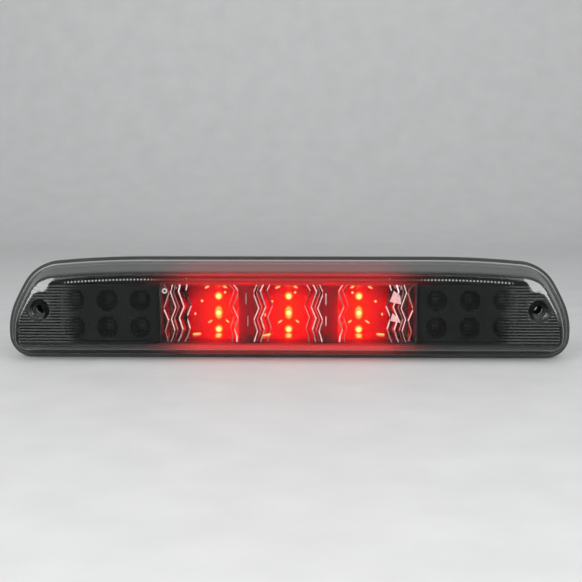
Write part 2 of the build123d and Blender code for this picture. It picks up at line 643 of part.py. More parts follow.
os.makedirs("parts", exist_ok=True)
make_lens()
make_housing()
make_sealant()
make_gasket()
make_reflector()
make_brake_board()
make_brake_leds()
make_led_leads()
make_brake_components()
for side_name, side_sign in SIDES.items():
    make_cargo_section(side_name, side_sign)
make_screws()
make_jumper_wires()
make_grommet()
make_vent()
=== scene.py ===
import math

import bmesh
import bpy
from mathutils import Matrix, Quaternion, Vector


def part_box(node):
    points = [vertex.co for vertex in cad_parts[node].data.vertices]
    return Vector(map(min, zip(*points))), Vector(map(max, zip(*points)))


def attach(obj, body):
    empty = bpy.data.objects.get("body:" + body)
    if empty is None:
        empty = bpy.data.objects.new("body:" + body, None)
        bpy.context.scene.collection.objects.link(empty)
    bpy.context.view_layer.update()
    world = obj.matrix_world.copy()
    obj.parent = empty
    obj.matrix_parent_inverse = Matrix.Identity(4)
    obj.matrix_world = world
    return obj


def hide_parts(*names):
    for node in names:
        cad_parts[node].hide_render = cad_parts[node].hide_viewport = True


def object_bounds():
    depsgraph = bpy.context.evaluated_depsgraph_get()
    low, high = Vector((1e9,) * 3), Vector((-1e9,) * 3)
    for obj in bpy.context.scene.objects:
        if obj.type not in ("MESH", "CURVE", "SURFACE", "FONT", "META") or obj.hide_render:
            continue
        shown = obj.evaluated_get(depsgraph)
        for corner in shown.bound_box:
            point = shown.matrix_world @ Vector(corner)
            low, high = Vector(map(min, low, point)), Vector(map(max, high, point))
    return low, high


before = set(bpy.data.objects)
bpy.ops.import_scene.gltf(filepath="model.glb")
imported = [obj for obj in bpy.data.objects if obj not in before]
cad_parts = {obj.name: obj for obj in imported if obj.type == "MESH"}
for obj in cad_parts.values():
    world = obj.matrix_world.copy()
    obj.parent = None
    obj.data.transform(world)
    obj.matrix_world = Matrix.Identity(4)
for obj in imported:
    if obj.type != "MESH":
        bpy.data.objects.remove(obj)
cad_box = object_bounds()

MM = 0.001

# ---- the outline of the lamp, as in the CAD: arcs from the straight top to the straight bottom ----
STRAIGHT_TOP_HALF = 100.0
OUTLINE_TOP_Z = 36.0
OUTLINE_ARCS = [(700.0, 5.3), (30.5, 53.0), (140.0, 7.0), (50.0, 30.0), (15.8, 84.7)]

# ---- lens, from its CAD box ----
LENS_LOW, LENS_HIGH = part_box("lens")
FACE_Y = LENS_LOW.y / MM
FOOT_REAR_Y = LENS_HIGH.y / MM
WALL_REAR_Y = -8.0
LENS_INSET = 2.5
LENS_WALL = 2.5
LENS_FLARE = 7.15
EDGE_RADIUS = 2.6
SOFT_RADIUS = 3.0
CORNER_RADIUS = 17.0
SOFT_ANGLE = math.radians(32.0)
CORNER_HEADING = math.radians(34.0)
BEAD_INSET = 2.15
FLUTE_PITCH = 2.07
FLUTE_HEIGHT = 0.16
COLUMN_PITCH = 2.43
COLUMN_HEIGHT = 0.16
DOT_DROP = 14.1
DOT_RADIUS = 0.85
DOT_HEIGHT = 0.5
FLUTES_TOP_Z = 18.3
FLUTES_BOTTOM_Z = -23.1
CLEAR_HALF_LENGTH = 89.6
SCREW_X = 175.0
SCREW_HOLE_RADIUS = 3.2
RECESS_RADIUS = 4.75
RECESS_FLOOR_Y = -19.0
TUBE_RADIUS = 8.4
TUBE_REAR_Y = -16.5

# ---- brake reflector, from its CAD box ----
MOUTH_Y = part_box("brake_reflector")[0].y / MM
BOWL_FLOOR_Y = 1.0
CELL_WINDOWS = [(-89.0, -34.0), (-25.3, 25.3), (34.0, 89.0)]
CELL_CENTRES = [-50.5, 0.0, 50.5]
WINDOW_TOP_Z = 18.1
WINDOW_BOTTOM_Z = -22.5
LED_ROWS_Z = [7.0, -5.0, -17.0]
LED_RADIUS = 2.5
BORDER = 1.5
SWING = 1.9
ZIGZAG_KNOTS = [(18.1, 0.4), (11.4, -1.0), (0.5, 1.0), (-7.7, -0.8), (-15.7, 0.5), (-22.5, -0.6)]
# ridges from a window's edge inwards: distance, half width, side to side swing, painted highlight strength
# between knots
OUTER_RIDGES = [(3.0, 0.34, -1.0, (0.1, 0.4, 1.0, 0.35, 0.2)), (7.4, 0.3, 1.0, (0.9, 0.85, 0.8, 0.9, 0.35)),
                (9.4, 0.16, 1.0, (0.35, 0.25, 0.2, 0.4, 0.1)), (12.6, 0.46, 1.0, (1.0, 0.9, 0.9, 1.0, 0.4)),
                (17.4, 0.45, 1.0, (1.0, 0.06, 0.9, 1.0, 0.3))]
DIVIDER_RIDGES = [(3.4, 0.42, 1.0, (0.7, 0.3, 1.0, 0.4, 1.0)),
                  (6.9, 0.28, 1.0, (0.25, 0.35, 0.12, 0.5, 0.2))]
CENTRE_RIDGES = [(2.6, 0.4, 1.0, (0.6, 0.8, 1.0, 0.6, 0.9)), (4.6, 0.18, 1.0, (0.2, 0.4, 0.2, 0.4, 0.1)),
                 (7.2, 0.48, 1.0, (0.9, 0.5, 0.95, 0.8, 0.3)),
                 (11.8, 0.32, 1.0, (0.8, 0.12, 0.7, 0.5, 0.2))]
# painted glints of the LEDs on small raised facets, from a cell's centre: x, z, half length, half width,
# slant
GLINTS = [(-7.6, 14.2, 2.3, 0.6, 34.0), (5.2, 14.4, 1.7, 0.6, -34.0), (-6.2, -11.6, 2.0, 0.5, 34.0),
          (6.3, -11.4, 1.7, 0.5, -40.0), (-11.9, 3.4, 0.9, 0.7, 0.0), (-16.6, -5.6, 0.5, 0.9, 0.0),
          (-15.6, -20.2, 3.0, 0.5, 0.0), (4.6, 9.6, 0.9, 0.8, -30.0)]
# large facets in the right-hand cell with a painted reflection of the room: corners as x, z
MIRRORS = [[(74.9, 12.1), (79.0, 8.9), (79.9, 3.0), (72.3, 3.9)],
           [(74.2, -4.3), (78.5, -7.5), (79.5, -10.2), (72.7, -9.8)]]
# upright painted highlight streaks on the dividers' front: x, z, half length
STREAKS = [(-29.4, 8.2, 4.2), (-28.2, -7.6, 3.9), (26.4, 8.0, 4.4), (26.5, -7.4, 3.6)]
FLOOR_SPOT_Z = -21.0
DIVIDER_X = 29.65
PIN_PLACE = (-86.6, 13.4)
PIN_RADIUS = 1.9
CORNER_WEB_RADIUS = 6.6
WEB_THICKNESS = 1.2
BOWL_THICKNESS = 1.2
BOWL_FLOOR_HALF = 7.0
BOWL_CURVE = 1.7
SHELF_HEIGHT = 6.5
SHELF_CURVE = 0.7
VALLEY_SINK = 0.07
CREST_TILT = 0.02
SIDE_LIFT = 0.05
SIDE_SWING = 0.7
GLINT_RISE = 0.5
GLINT_CROWN = 1.1
MIRROR_RISE = 0.7
FACET_ROOT = 0.6
PIN_TUBE_RADIUS = 0.5
PIN_DEPTH = 1.1
STREAK_HALF_WIDTH = 0.35
STREAK_SINK = 0.3
STREAK_POINT = 0.8

# ---- brake LEDs ----
LED_FLANGE_RADIUS = 2.9
LED_BASE_Y = 7.0
LED_FLANGE_Y = 6.0
LED_MIDDLE_Y = 3.0
LED_SHOULDER_Y = 0.9

# ---- places where an effect on the lens starts and ends ----
DOT_ROW_END = (152.0, 158.0)
COLUMNS_END = (150.0, 162.0)
LOWER_BAND = ((-28.0, -26.5), (-24.0, -23.0))
END_FLUTES = (147.0, 156.0)
CENTRE_ZONE = (84.0, 104.0)
FLUTE_CREST = (0.68, 0.97)
GLOSS_HEADINGS = ((3.0, 12.0), (66.0, 80.0))
GLOSS_SLANTS = ((0.5, 3.0), (40.0, 60.0))
GLOSS_REACH = 7.0

# ---- painted red glow on the lens's skin near the brake section, in place of the brake light it scatters ----
RED_HALF_LENGTH = 58.0
RED_FADE_LENGTH = 22.0
RED_TOP_Z = 17.5
RED_BOTTOM_Z = -22.5
RED_FADE_HEIGHT = 9.0
RED_INNER_HALF_HEIGHT = 24.5

# ---- painted light of the LEDs on the reflector: a red pool between them, hot spots beside them and on the bowl floor ----
POOL_SHARE = 0.55
POOL_STRETCH = 2.6
POOL_SQUASH = 0.85
POOL_RADIUS = 8.0
POOL_MOST = 0.78
HOT_RADIUS = 4.5
HOT_HEIGHTS = (1.05, 1.7, 1.0)
FLOOR_SPOT_RADIUS = 1.6
DIVIDER_GLOW = 0.26

# ---- share of light that the lens scatters: plain scatter on the foot, wall and screw tubes, painted highlight on the bead, the wall's top, the lower band, the dots and the flute crests ----
BEAD_HIGHLIGHT = 0.6
FOOT_SCATTER = 0.2
WALL_SCATTER = 0.04
WALL_TOP_HIGHLIGHT = 0.11
LOWER_BAND_HIGHLIGHT = 0.05
DOT_HIGHLIGHT = 0.95
FLUTE_HIGHLIGHT = 0.05
END_FLUTE_HIGHLIGHT = 0.27
TUBE_SCATTER = 0.12

# ---- cargo bezels: painted shade, darker with depth into their pockets and in stripes at the lens's flute pitch ----
BEZEL_FADE = 2.2
BEZEL_START = 0.42
BEZEL_SPECKLE = 0.3
BEZEL_FLUTE_SHADE = 0.34

# ---- studio and camera ----
FLOOR_GAP = 0.0004
WORLD_COLOUR = (0.9, 0.92, 0.95, 1)
WORLD_STRENGTH = 0.32
TOP_LIGHT_PLACE = (0.0, -0.1, 1.6)
TOP_LIGHT_SIZE = (1.8, 1.2)
TOP_LIGHT_POWER = 5.5
CORNER_LIGHT_AIM = (0.165, -0.03, 0.01)
CORNER_LIGHT_AZIMUTH = math.radians(27.0)
CORNER_LIGHT_ELEVATION = math.radians(27.0)
CORNER_LIGHT_REACH = 1.3
CORNER_LIGHT_SIZE = (1.15, 1.15)
CORNER_LIGHT_POWER = 14
CORNER_LIGHT_ROLL = math.radians(34.0)
CAMERA_ELEVATION = math.radians(8.0)
CAMERA_YAW = math.radians(1.0)
CAMERA_DISTANCE = 0.785
CAMERA_LENS = 69.9
CAMERA_SHIFT_X = 0.0052
CAMERA_SHIFT_Y = 0.0351


# ---- node helpers ----
class Look:
    """A node material, its shader and ways to feed it."""

    def __init__(self, name):
        self.material = bpy.data.materials.new(name)
        self.material.use_nodes = True
        self.nodes = self.material.node_tree.nodes
        self.links = self.material.node_tree.links
        self.shader = self.nodes["Principled BSDF"]

    def feed(self, name, value):
        """Sets a socket of the shader to a constant or to another node's output."""
        self.put(self.shader.inputs[name], value)

    def put(self, socket, value):
        """Sets any socket to a constant or to another node's output."""
        if isinstance(value, bpy.types.NodeSocket):
            self.links.new(value, socket)
        else:
            socket.default_value = value

    def node(self, kind, **inputs):
        """A new node with some of its inputs set; a space in an input's name is written as _."""
        node = self.nodes.new("ShaderNode" + kind)
        for name, value in inputs.items():
            self.put(node.inputs[name.replace("_", " ")], value)
        return node

    def maths(self, operation, *values):
        """One step of arithmetic on sockets or numbers."""
        node = self.node("Math")
        node.operation = operation
        for socket, value in zip(node.inputs, values):
            self.put(socket, value)
        return node.outputs["Value"]

    def attribute(self, name):
        """A float stored on the mesh."""
        node = self.node("Attribute")
        node.attribute_name = name
        return node.outputs["Fac"]

    def place(self):
        """The place on the object, in metres."""
        return self.node("TexCoord").outputs["Object"]

    def axes(self):
        """The place on the object as separate X, Y and Z."""
        return self.node("SeparateXYZ", Vector=self.place()).outputs

    def noise(self, scale, detail=4.0, stretch=None):
        """A noise texture in the lamp's own coordinates, optionally stretched."""
        place = self.place()
        if stretch:
            place = self.node("Mapping", Scale=stretch, Vector=place).outputs["Vector"]
        return self.node("TexNoise", Scale=scale, Detail=detail, Vector=place).outputs["Fac"]

    def ramp(self, source, stops):
        """A colour ramp on a value; stops are (position, colour)."""
        node = self.node("ValToRGB", Fac=source)
        elements = node.color_ramp.elements
        while len(elements) < len(stops):
            elements.new(0.5)
        for element, (position, colour) in zip(elements, stops):
            element.position = position
            element.color = (*colour, 1.0)
        return node.outputs["Color"]

    def colour(self, source, stops):
        """Colours the shader by a ramp on a value."""
        self.feed("Base Color", self.ramp(source, stops))

    def spread(self, source, low, high):
        """Maps a 0 to 1 value to a range."""
        return self.node("MapRange", Value=source, To_Min=low, To_Max=high).outputs["Result"]

    def bump(self, height, distance, strength=1.0):
        """Drives the shader's normal from a height."""
        node = self.node("Bump", Strength=strength, Distance=distance, Height=height)
        self.feed("Normal", node.outputs["Normal"])

    def emit(self, colour, strength):
        """Gives the shader its own light."""
        self.feed("Emission Color", colour)
        self.feed("Emission Strength", strength)


def grained(name, dark, light, roughness, grain_mm, depth_mm, metallic=0.0):
    """Moulded or cast finish: fine grain with slight variation in colour and gloss."""
    look = Look(name)
    fine = look.noise(1 / (grain_mm * MM), 3.0)
    broad = look.noise(60.0, 4.0)
    look.colour(broad, [(0.3, dark), (0.7, light)])
    look.feed("Roughness", look.spread(broad, *roughness))
    look.feed("Metallic", metallic)
    look.bump(fine, depth_mm * MM)
    return look


def lens_material():
    """Smoked polycarbonate: tinted glass, whitened and less clear where it scatters light and where painted
    highlights stand in for its glints, glossier on rounded corners, with a painted red glow near the brake
    section.
    """
    look = Look("smoked_polycarbonate")
    # whiter, less clear skin where it scatters; on the bead, dots, flute crests, lower band and wall top
    # this whitening is painted highlight
    scatter_and_highlight = look.attribute("scatter_and_highlight")
    look.feed("Transmission Weight", look.maths("SUBTRACT", 1.0, scatter_and_highlight))
    look.colour(scatter_and_highlight, [(0.0, (0.40, 0.415, 0.41)), (0.3, (0.44, 0.455, 0.45)), (0.8, (0.9, 0.92, 0.91))])
    look.feed("Roughness", look.spread(scatter_and_highlight, 0.0, 0.4))
    look.feed("IOR", 1.5)
    gloss = look.attribute("gloss")
    look.feed("Specular Tint", look.ramp(gloss, [(0.0, (0.15, 0.15, 0.15)), (1.0, (1, 1, 1))]))
    look.feed("Specular IOR Level", look.spread(gloss, 0.5, 1.0))
    look.feed("Coat Weight", gloss)
    look.feed("Coat IOR", 1.85)
    # painted red glow: the lens's own light stands in for the brake light scattered in it
    red = look.ramp(look.attribute("red"), [(0.0, (0, 0, 0)), (1.0, (0.62, 0.018, 0.018))])
    look.emit(red, 1.0)
    clear = look.node("BsdfTransparent", Color=(0.63, 0.645, 0.64, 1))
    mix = look.node("MixShader", Fac=look.node("LightPath").outputs["Is Shadow Ray"])
    look.put(mix.inputs[1], look.shader.outputs["BSDF"])
    look.put(mix.inputs[2], clear.outputs["BSDF"])
    look.put(look.nodes["Material Output"].inputs["Surface"], mix.outputs["Shader"])
    return look


def chrome_material():
    """Vacuum-metallised reflector, with the red light that pools round the LEDs painted into its colour and
    its own light.
    """
    look = Look("metallised_reflector")
    ripple = look.noise(420.0, 2.0)
    painted_glow = look.attribute("painted_glow")
    # painted red light in the metal's colour, deepest in the pool round the LEDs
    look.colour(painted_glow, [(0.0, (0.24, 0.20, 0.205)), (0.3, (0.36, 0.05, 0.055)), (0.6, (0.55, 0.01, 0.01))])
    look.feed("Metallic", 1.0)
    look.feed("Roughness", look.spread(ripple, 0.10, 0.24))
    look.bump(ripple, 0.06 * MM, 0.6)
    # painted light of the LEDs, given to the reflector as its own light
    light = look.ramp(
        painted_glow,
        [(0.0, (0.0, 0.0, 0.0)), (0.14, (0.05, 0.001, 0.002)), (0.32, (0.40, 0.004, 0.008)),
         (0.6, (1.0, 0.012, 0.012)), (0.8, (1.0, 0.03, 0.01)), (0.9, (1.0, 0.30, 0.03)),
         (1.0, (1.0, 0.75, 0.2))],
    )
    look.emit(light, 2.2)
    return look


def ridge_material():
    """The polished crests of the zigzag ridges, with painted highlights: their colour and their own light
    stand in for the lamp's light they catch.
    """
    look = Look("reflector_ridge")
    ripple = look.noise(900.0, 3.0)
    look.feed("Metallic", 1.0)
    look.feed("Roughness", look.spread(ripple, 0.22, 0.38))
    light = look.ramp(
        look.attribute("painted_glow"),
        [(0.0, (1.0, 0.88, 0.89)), (0.3, (1.0, 0.70, 0.69)), (0.6, (1.0, 0.30, 0.28)),
         (1.0, (1.0, 0.2, 0.15))],
    )
    patches = look.ramp(ripple, [(0.35, (0.55, 0.52, 0.52)), (0.6, (1, 1, 1))])
    flicker = look.node("MixRGB", Fac=1.0, Color1=light, Color2=patches)
    flicker.blend_type = "MULTIPLY"
    # painted highlight: the crest's colour and its own light both rise with the stored highlight strength
    painted_highlight = look.attribute("painted_highlight")
    look.emit(flicker.outputs["Color"], look.spread(painted_highlight, 0.0, 2.2))
    look.colour(painted_highlight, [(0.0, (0.25, 0.1, 0.1)), (1.0, (0.92, 0.88, 0.89))])
    return look


def glint_material():
    """Small facets with a painted glint of the LEDs: an orange colour and their own light stand in for the
    LEDs' reflection.
    """
    look = Look("reflector_painted_glint")
    ripple = look.noise(1500.0, 3.0)
    look.feed("Base Color", (0.9, 0.5, 0.3, 1))
    look.feed("Metallic", 1.0)
    look.feed("Roughness", look.spread(ripple, 0.1, 0.3))
    # painted glint of the LEDs, as the facets' own light
    light = look.ramp(ripple, [(0.3, (1.0, 0.35, 0.06)), (0.6, (1.0, 0.75, 0.28))])
    look.emit(light, 2.4)
    return look


def led_material():
    """Lit red LED: white-hot at the tip of the dome, through yellow to orange down its side."""
    look = Look("lit_red_led")
    look.feed("Base Color", (0.8, 0.02, 0.01, 1))
    look.feed("Roughness", 0.12)
    heat = look.ramp(
        look.attribute("core"),
        [(0.0, (0.8, 0.01, 0.0)), (0.3, (1.0, 0.22, 0.015)), (0.55, (1.0, 0.68, 0.10)),
         (0.82, (1.0, 0.93, 0.42)), (1.0, (0.9, 1.0, 0.9))],
    )
    look.emit(heat, 3.2)
    return look


def board_material(name="solder_mask", tone=1.0):
    """Solder mask over copper tracks."""
    look = Look(name)
    tracks = look.node("TexBrick", Scale=160.0, Mortar_Size=0.03, Vector=look.place(),
                       Color1=(0.012 * tone, 0.10 * tone, 0.035 * tone, 1),
                       Color2=(0.016 * tone, 0.13 * tone, 0.045 * tone, 1),
                       Mortar=(0.03 * tone, 0.2 * tone, 0.08 * tone, 1))
    look.feed("Base Color", tracks.outputs["Color"])
    weave = look.noise(900.0, 3.0)
    look.feed("Roughness", look.spread(weave, 0.22, 0.38))
    look.bump(weave, 0.02 * MM)
    return look


def foam_material():
    """Closed-cell foam with open pores at the surface."""
    look = Look("closed_cell_foam")
    cells = look.node("TexVoronoi", Scale=1400.0, Vector=look.place()).outputs["Distance"]
    look.colour(cells, [(0.0, (0.012, 0.012, 0.012)), (0.6, (0.06, 0.06, 0.062))])
    look.feed("Roughness", 0.9)
    look.bump(cells, 0.25 * MM)
    return look


# ---- mesh helpers ----
def make_piece(name, source, looks, smooth_angle=35.0, indices=None, replaces=(),
               closed=True):
    """A mesh piece from a builder's points in millimetres, riding on the lamp's one body.

    An open skin keeps the windings it is given."""
    mesh = bpy.data.meshes.new(name)
    mesh.from_pydata([[c * MM for c in v] for v in source.vertices], [], source.faces)
    mesh.validate()
    piece = bpy.data.objects.new(name, mesh)
    bpy.context.scene.collection.objects.link(piece)
    for look in looks:
        mesh.materials.append(look.material)
    if indices:
        mesh.polygons.foreach_set("material_index", indices)
    shade(piece, smooth_angle, closed)
    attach(piece, "root")
    if replaces:
        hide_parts(*replaces)
    return piece


def shade(piece, angle, closed=True):
    """Smooth shading that keeps edges sharper than an angle."""
    build = bmesh.new()
    build.from_mesh(piece.data)
    if closed:
        bmesh.ops.recalc_face_normals(build, faces=build.faces)
    for face in build.faces:
        face.smooth = True
    for edge in build.edges:
        edge.smooth = edge.calc_face_angle(0.0) < math.radians(angle)
    build.to_mesh(piece.data)
    build.free()


def fill_float(piece, name, values, domain="POINT"):
    """Stores one float for each vertex or face."""
    layer = piece.data.attributes.new(name, "FLOAT", domain)
    layer.data.foreach_set("value", values)


def outline_points(step):
    """Points and outward normals round the outline, clockwise from the top centre, about step mm apart."""
    half = []
    count = max(1, round(STRAIGHT_TOP_HALF / step))
    for index in range(count):
        half.append((STRAIGHT_TOP_HALF * index / count, OUTLINE_TOP_Z, 0.0, 1.0))
    x, z, heading = STRAIGHT_TOP_HALF, OUTLINE_TOP_Z, 0.0
    for radius, turn in OUTLINE_ARCS:
        centre_x = x + radius * math.sin(heading)
        centre_z = z - radius * math.cos(heading)
        count = max(2, round(radius * math.radians(turn) / step))
        for index in range(count):
            angle = heading - math.radians(turn) * index / count
            normal = (-math.sin(angle), math.cos(angle))
            half.append((centre_x + radius * normal[0], centre_z + radius * normal[1], *normal))
        heading -= math.radians(turn)
        x = centre_x - radius * math.sin(heading)
        z = centre_z + radius * math.cos(heading)
    count = max(1, round(x / step))
    for index in range(count + 1):
        half.append((x * (1 - index / count), z, 0.0, -1.0))
    mirrored = [(-px, pz, -nx, nz) for px, pz, nx, nz in half[-2:0:-1]]
    return half + mirrored


def turns(count):
    """Cosine and sine of evenly spaced angles round a circle."""
    angles = [2 * math.pi * index / count for index in range(count)]
    return [(math.cos(angle), math.sin(angle)) for angle in angles]


class Builder:
    """Collects points and faces of one mesh."""

    def __init__(self):
        self.vertices = []
        self.faces = []

    def add(self, point):
        self.vertices.append(point)
        return len(self.vertices) - 1

    def loop(self, points):
        return [self.add(point) for point in points]

    def bridge(self, first, second):
        """Quads between two closed loops of equal length."""
        count = len(first)
        for index in range(count):
            following = (index + 1) % count
            self.faces.append((first[index], first[following], second[following], second[index]))

    def plate(self, front, rear):
        """A closed plate between two loops of points."""
        front, rear = self.loop(front), self.loop(rear)
        self.bridge(front, rear)
        self.faces += [tuple(front), tuple(rear[::-1])]

    def zip(self, first, second, closed=True):
        """Triangles between two chains of different length that start side by side."""
        a, b = (list(chain) + [chain[0]] if closed else list(chain) for chain in (first, second))
        i = j = 0
        place = [Vector(v) for v in self.vertices]
        while i < len(a) - 1 or j < len(b) - 1:
            step_a = (place[a[i + 1]] - place[b[j]]).length if i < len(a) - 1 else math.inf
            step_b = (place[a[i]] - place[b[j + 1]]).length if j < len(b) - 1 else math.inf
            if step_a < step_b:
                self.faces.append((a[i], a[i + 1], b[j]))
                i += 1
            else:
                self.faces.append((a[i], b[j + 1], b[j]))
                j += 1


# ---- lens ----
def lens_profile(heading, depth):
    """Section of the lens for a heading of the outline, depth mm under its skin: (inset, y) pairs.

    From the foot up the flared wall, round a tight edge and then a softer one to the flat face. The softer
    one is widest at the upper corners."""
    slope = math.atan(LENS_FLARE / (WALL_REAR_Y - FACE_Y))
    wall_angle = math.pi / 2 - slope
    off = abs(heading - CORNER_HEADING) / CORNER_HEADING
    soft = SOFT_RADIUS + (CORNER_RADIUS - SOFT_RADIUS) * (math.cos(min(1.0, off) * math.pi / 2) ** 2)
    reach = math.cos(wall_angle) * (WALL_REAR_Y - FACE_Y - soft)
    reach += (soft - EDGE_RADIUS) * math.cos(wall_angle - SOFT_ANGLE) + EDGE_RADIUS
    centre = (LENS_INSET + reach / math.sin(wall_angle), FACE_Y + soft)
    inner = (centre[0] - (soft - EDGE_RADIUS) * math.sin(SOFT_ANGLE),
             centre[1] - (soft - EDGE_RADIUS) * math.cos(SOFT_ANGLE))
    foot = LENS_INSET + depth / math.sin(wall_angle)
    levels = [(foot, FOOT_REAR_Y), (foot, (FOOT_REAR_Y + WALL_REAR_Y) / 2), (foot, WALL_REAR_Y)]
    if depth == 0:
        levels += [(BEAD_INSET, WALL_REAR_Y - 0.25), (BEAD_INSET, WALL_REAR_Y - 0.85)]
    start = (inner[0] - (EDGE_RADIUS - depth) * math.sin(wall_angle),
             inner[1] - (EDGE_RADIUS - depth) * math.cos(wall_angle))
    wall_steps = 6
    for index in range(1 if depth == 0 else 2, wall_steps):
        part = index / wall_steps
        levels.append((foot + (start[0] - foot) * part, WALL_REAR_Y + (start[1] - WALL_REAR_Y) * part))
    edge_steps, soft_steps = 6, 9
    for index in range(edge_steps + 1):
        angle = wall_angle + (SOFT_ANGLE - wall_angle) * index / edge_steps
        levels.append((inner[0] - (EDGE_RADIUS - depth) * math.sin(angle),
                       inner[1] - (EDGE_RADIUS - depth) * math.cos(angle)))
    for index in range(1, soft_steps + 1):
        angle = SOFT_ANGLE * (1 - index / soft_steps)
        levels.append((centre[0] - (soft - depth) * math.sin(angle),
                       centre[1] - (soft - depth) * math.cos(angle)))
    return levels


def half_round(value, pitch, height):
    """Height of a row of part-round flutes at a place across them."""
    half = pitch / 2
    radius = (half * half + height * height) / (2 * height)
    across = (value % pitch) - half
    return math.sqrt(radius * radius - across * across) - (radius - height)


def rise(value, low, high):
    """Smooth step from 0 at low to 1 at high."""
    part = min(1.0, max(0.0, (value - low) / (high - low)))
    return part * part * (3 - 2 * part)


def fall(value, low, high):
    """Smooth step from 1 at low to 0 at high."""
    return rise(-value, -high, -low)


def window(value, opens, closes):
    """Smooth step up over one span and down again over another."""
    return rise(value, *opens) * fall(value, *closes)


def flute_zone(z, edge):
    """1 where the level flutes run, with edges of a given softness."""
    return window(z, (FLUTES_BOTTOM_Z, FLUTES_BOTTOM_Z + edge), (FLUTES_TOP_Z - edge, FLUTES_TOP_Z))


def dot_share(x, z):
    """1 at the centre of a bead of the dotted row under the lens's upper edge, 0 outside it."""
    across = (x + COLUMN_PITCH / 2) % COLUMN_PITCH - COLUMN_PITCH / 2
    radius = OUTLINE_ARCS[0][0]
    past = max(0.0, abs(x) - STRAIGHT_TOP_HALF)
    row_z = OUTLINE_TOP_Z - DOT_DROP - (radius - math.sqrt(radius * radius - past * past))
    return max(0.0, 1 - math.hypot(across, z - row_z) / DOT_RADIUS) * fall(abs(x), *DOT_ROW_END)


def inner_relief(x, z):
    """How far the optics stand out from the inner face of the lens."""
    side = rise(abs(x), CLEAR_HALF_LENGTH, CLEAR_HALF_LENGTH + 0.6)
    rows = half_round(z - FLUTES_TOP_Z, FLUTE_PITCH, FLUTE_HEIGHT) * side * flute_zone(z, 0.3)
    upright = rise(z, FLUTES_TOP_Z + 0.2, FLUTES_TOP_Z + 0.6)
    columns = half_round(x, COLUMN_PITCH, COLUMN_HEIGHT) * upright * fall(abs(x), *COLUMNS_END)
    return rows + columns + DOT_HEIGHT * math.sqrt(dot_share(x, z))


def row_range(low, high, step):
    """Evenly spaced values from low to high."""
    count = max(1, math.ceil((high - low) / step))
    return [low + (high - low) * index / count for index in range(count + 1)]


def face_half_width(border, z):
    """Half the width of a flat face at a height, from its right-hand border points."""
    best = 0.0
    for (x0, z0), (x1, z1) in zip(border, border[1:]):
        if min(z0, z1) <= z <= max(z0, z1) and abs(z1 - z0) > 1e-9:
            best = max(best, x0 + (x1 - x0) * (z - z0) / (z1 - z0))
    return best


def fill_face(build, border_loop, y, relief, rows, columns_for):
    """Fills a flat face inside its border loop with rows of points displaced by the relief."""
    border = [build.vertices[index] for index in border_loop]
    right = [(v[0], v[2]) for v in border if v[0] > -1e-6]
    top_z, bottom_z = max(v[2] for v in border), min(v[2] for v in border)
    margin = 0.35
    chains = []
    for z in rows:
        if not bottom_z + margin < z < top_z - margin:
            continue
        half = face_half_width(right, z) - margin
        chains.append(build.loop([(x, y + relief(x, z), z) for x in columns_for(z, half)]))
    for upper, lower in zip(chains, chains[1:]):
        build.zip(upper, lower, closed=False)
    rim = chains[0] + [chain[-1] for chain in chains[1:]] + chains[-1][-2::-1]
    rim += [chain[0] for chain in chains[-2:0:-1]]
    start = Vector(border[0])
    nearest = min(range(len(rim)), key=lambda k: (Vector(build.vertices[rim[k]]) - start).length)
    build.zip(border_loop, rim[nearest:] + rim[:nearest])


def lens_columns(z, half):
    """Column places along one row: fine where upright flutes run, coarse elsewhere."""
    if z > FLUTES_TOP_Z:
        step = COLUMN_PITCH / 8
        count = int((half - step / 2) / step)
        return [-half] + [index * step for index in range(-count, count + 1)] + [half]
    outer = [CLEAR_HALF_LENGTH + 0.6]
    while outer[-1] + 5.0 < half:
        outer.append(outer[-1] + 4.0)
    outer.append(half)
    inner = row_range(-CLEAR_HALF_LENGTH, CLEAR_HALF_LENGTH, 12.0)
    return [-x for x in reversed(outer)] + inner + outer


def lens_scatter_and_highlight(x, y, z, upward):
    """Share of light that the lens scatters at a place on its skin; on the bead, the wall's top, the lower
    band, the dots and the flute crests it is painted highlight.
    """
    if y > WALL_REAR_Y - 1.1:
        return BEAD_HIGHLIGHT if y < WALL_REAR_Y - 0.1 else FOOT_SCATTER
    if y > FACE_Y + 5.0:
        return WALL_SCATTER + WALL_TOP_HIGHLIGHT * rise(upward, 0.1, 0.8)
    if y < FACE_Y + LENS_WALL - 0.5:
        return LOWER_BAND_HIGHLIGHT * window(z, *LOWER_BAND)
    dots = min(1.0, dot_share(x, z) * 2.5)
    crest = half_round(z - FLUTES_TOP_Z, FLUTE_PITCH, FLUTE_HEIGHT) / FLUTE_HEIGHT
    flutes = FLUTE_HIGHLIGHT + END_FLUTE_HIGHLIGHT * rise(abs(x), *END_FLUTES)
    flutes *= rise(abs(x), CLEAR_HALF_LENGTH, CLEAR_HALF_LENGTH + 3.0)
    centre_fade = 0.25 + 0.75 * rise(abs(x), *CENTRE_ZONE)
    return max(DOT_HIGHLIGHT * dots * centre_fade, flutes * flute_zone(z, 0.5) * rise(crest, *FLUTE_CREST))


def lens_gloss(y, normal):
    """1 on the rounded edge of the lens's outer skin near its corners, which mirrors the most light."""
    if y >= FACE_Y + GLOSS_REACH:
        return 0.0
    slant = math.degrees(math.acos(min(1.0, max(-1.0, -normal.y))))
    heading = math.degrees(math.atan2(abs(normal.x), normal.z))
    return window(heading, *GLOSS_HEADINGS) * window(slant, *GLOSS_SLANTS)


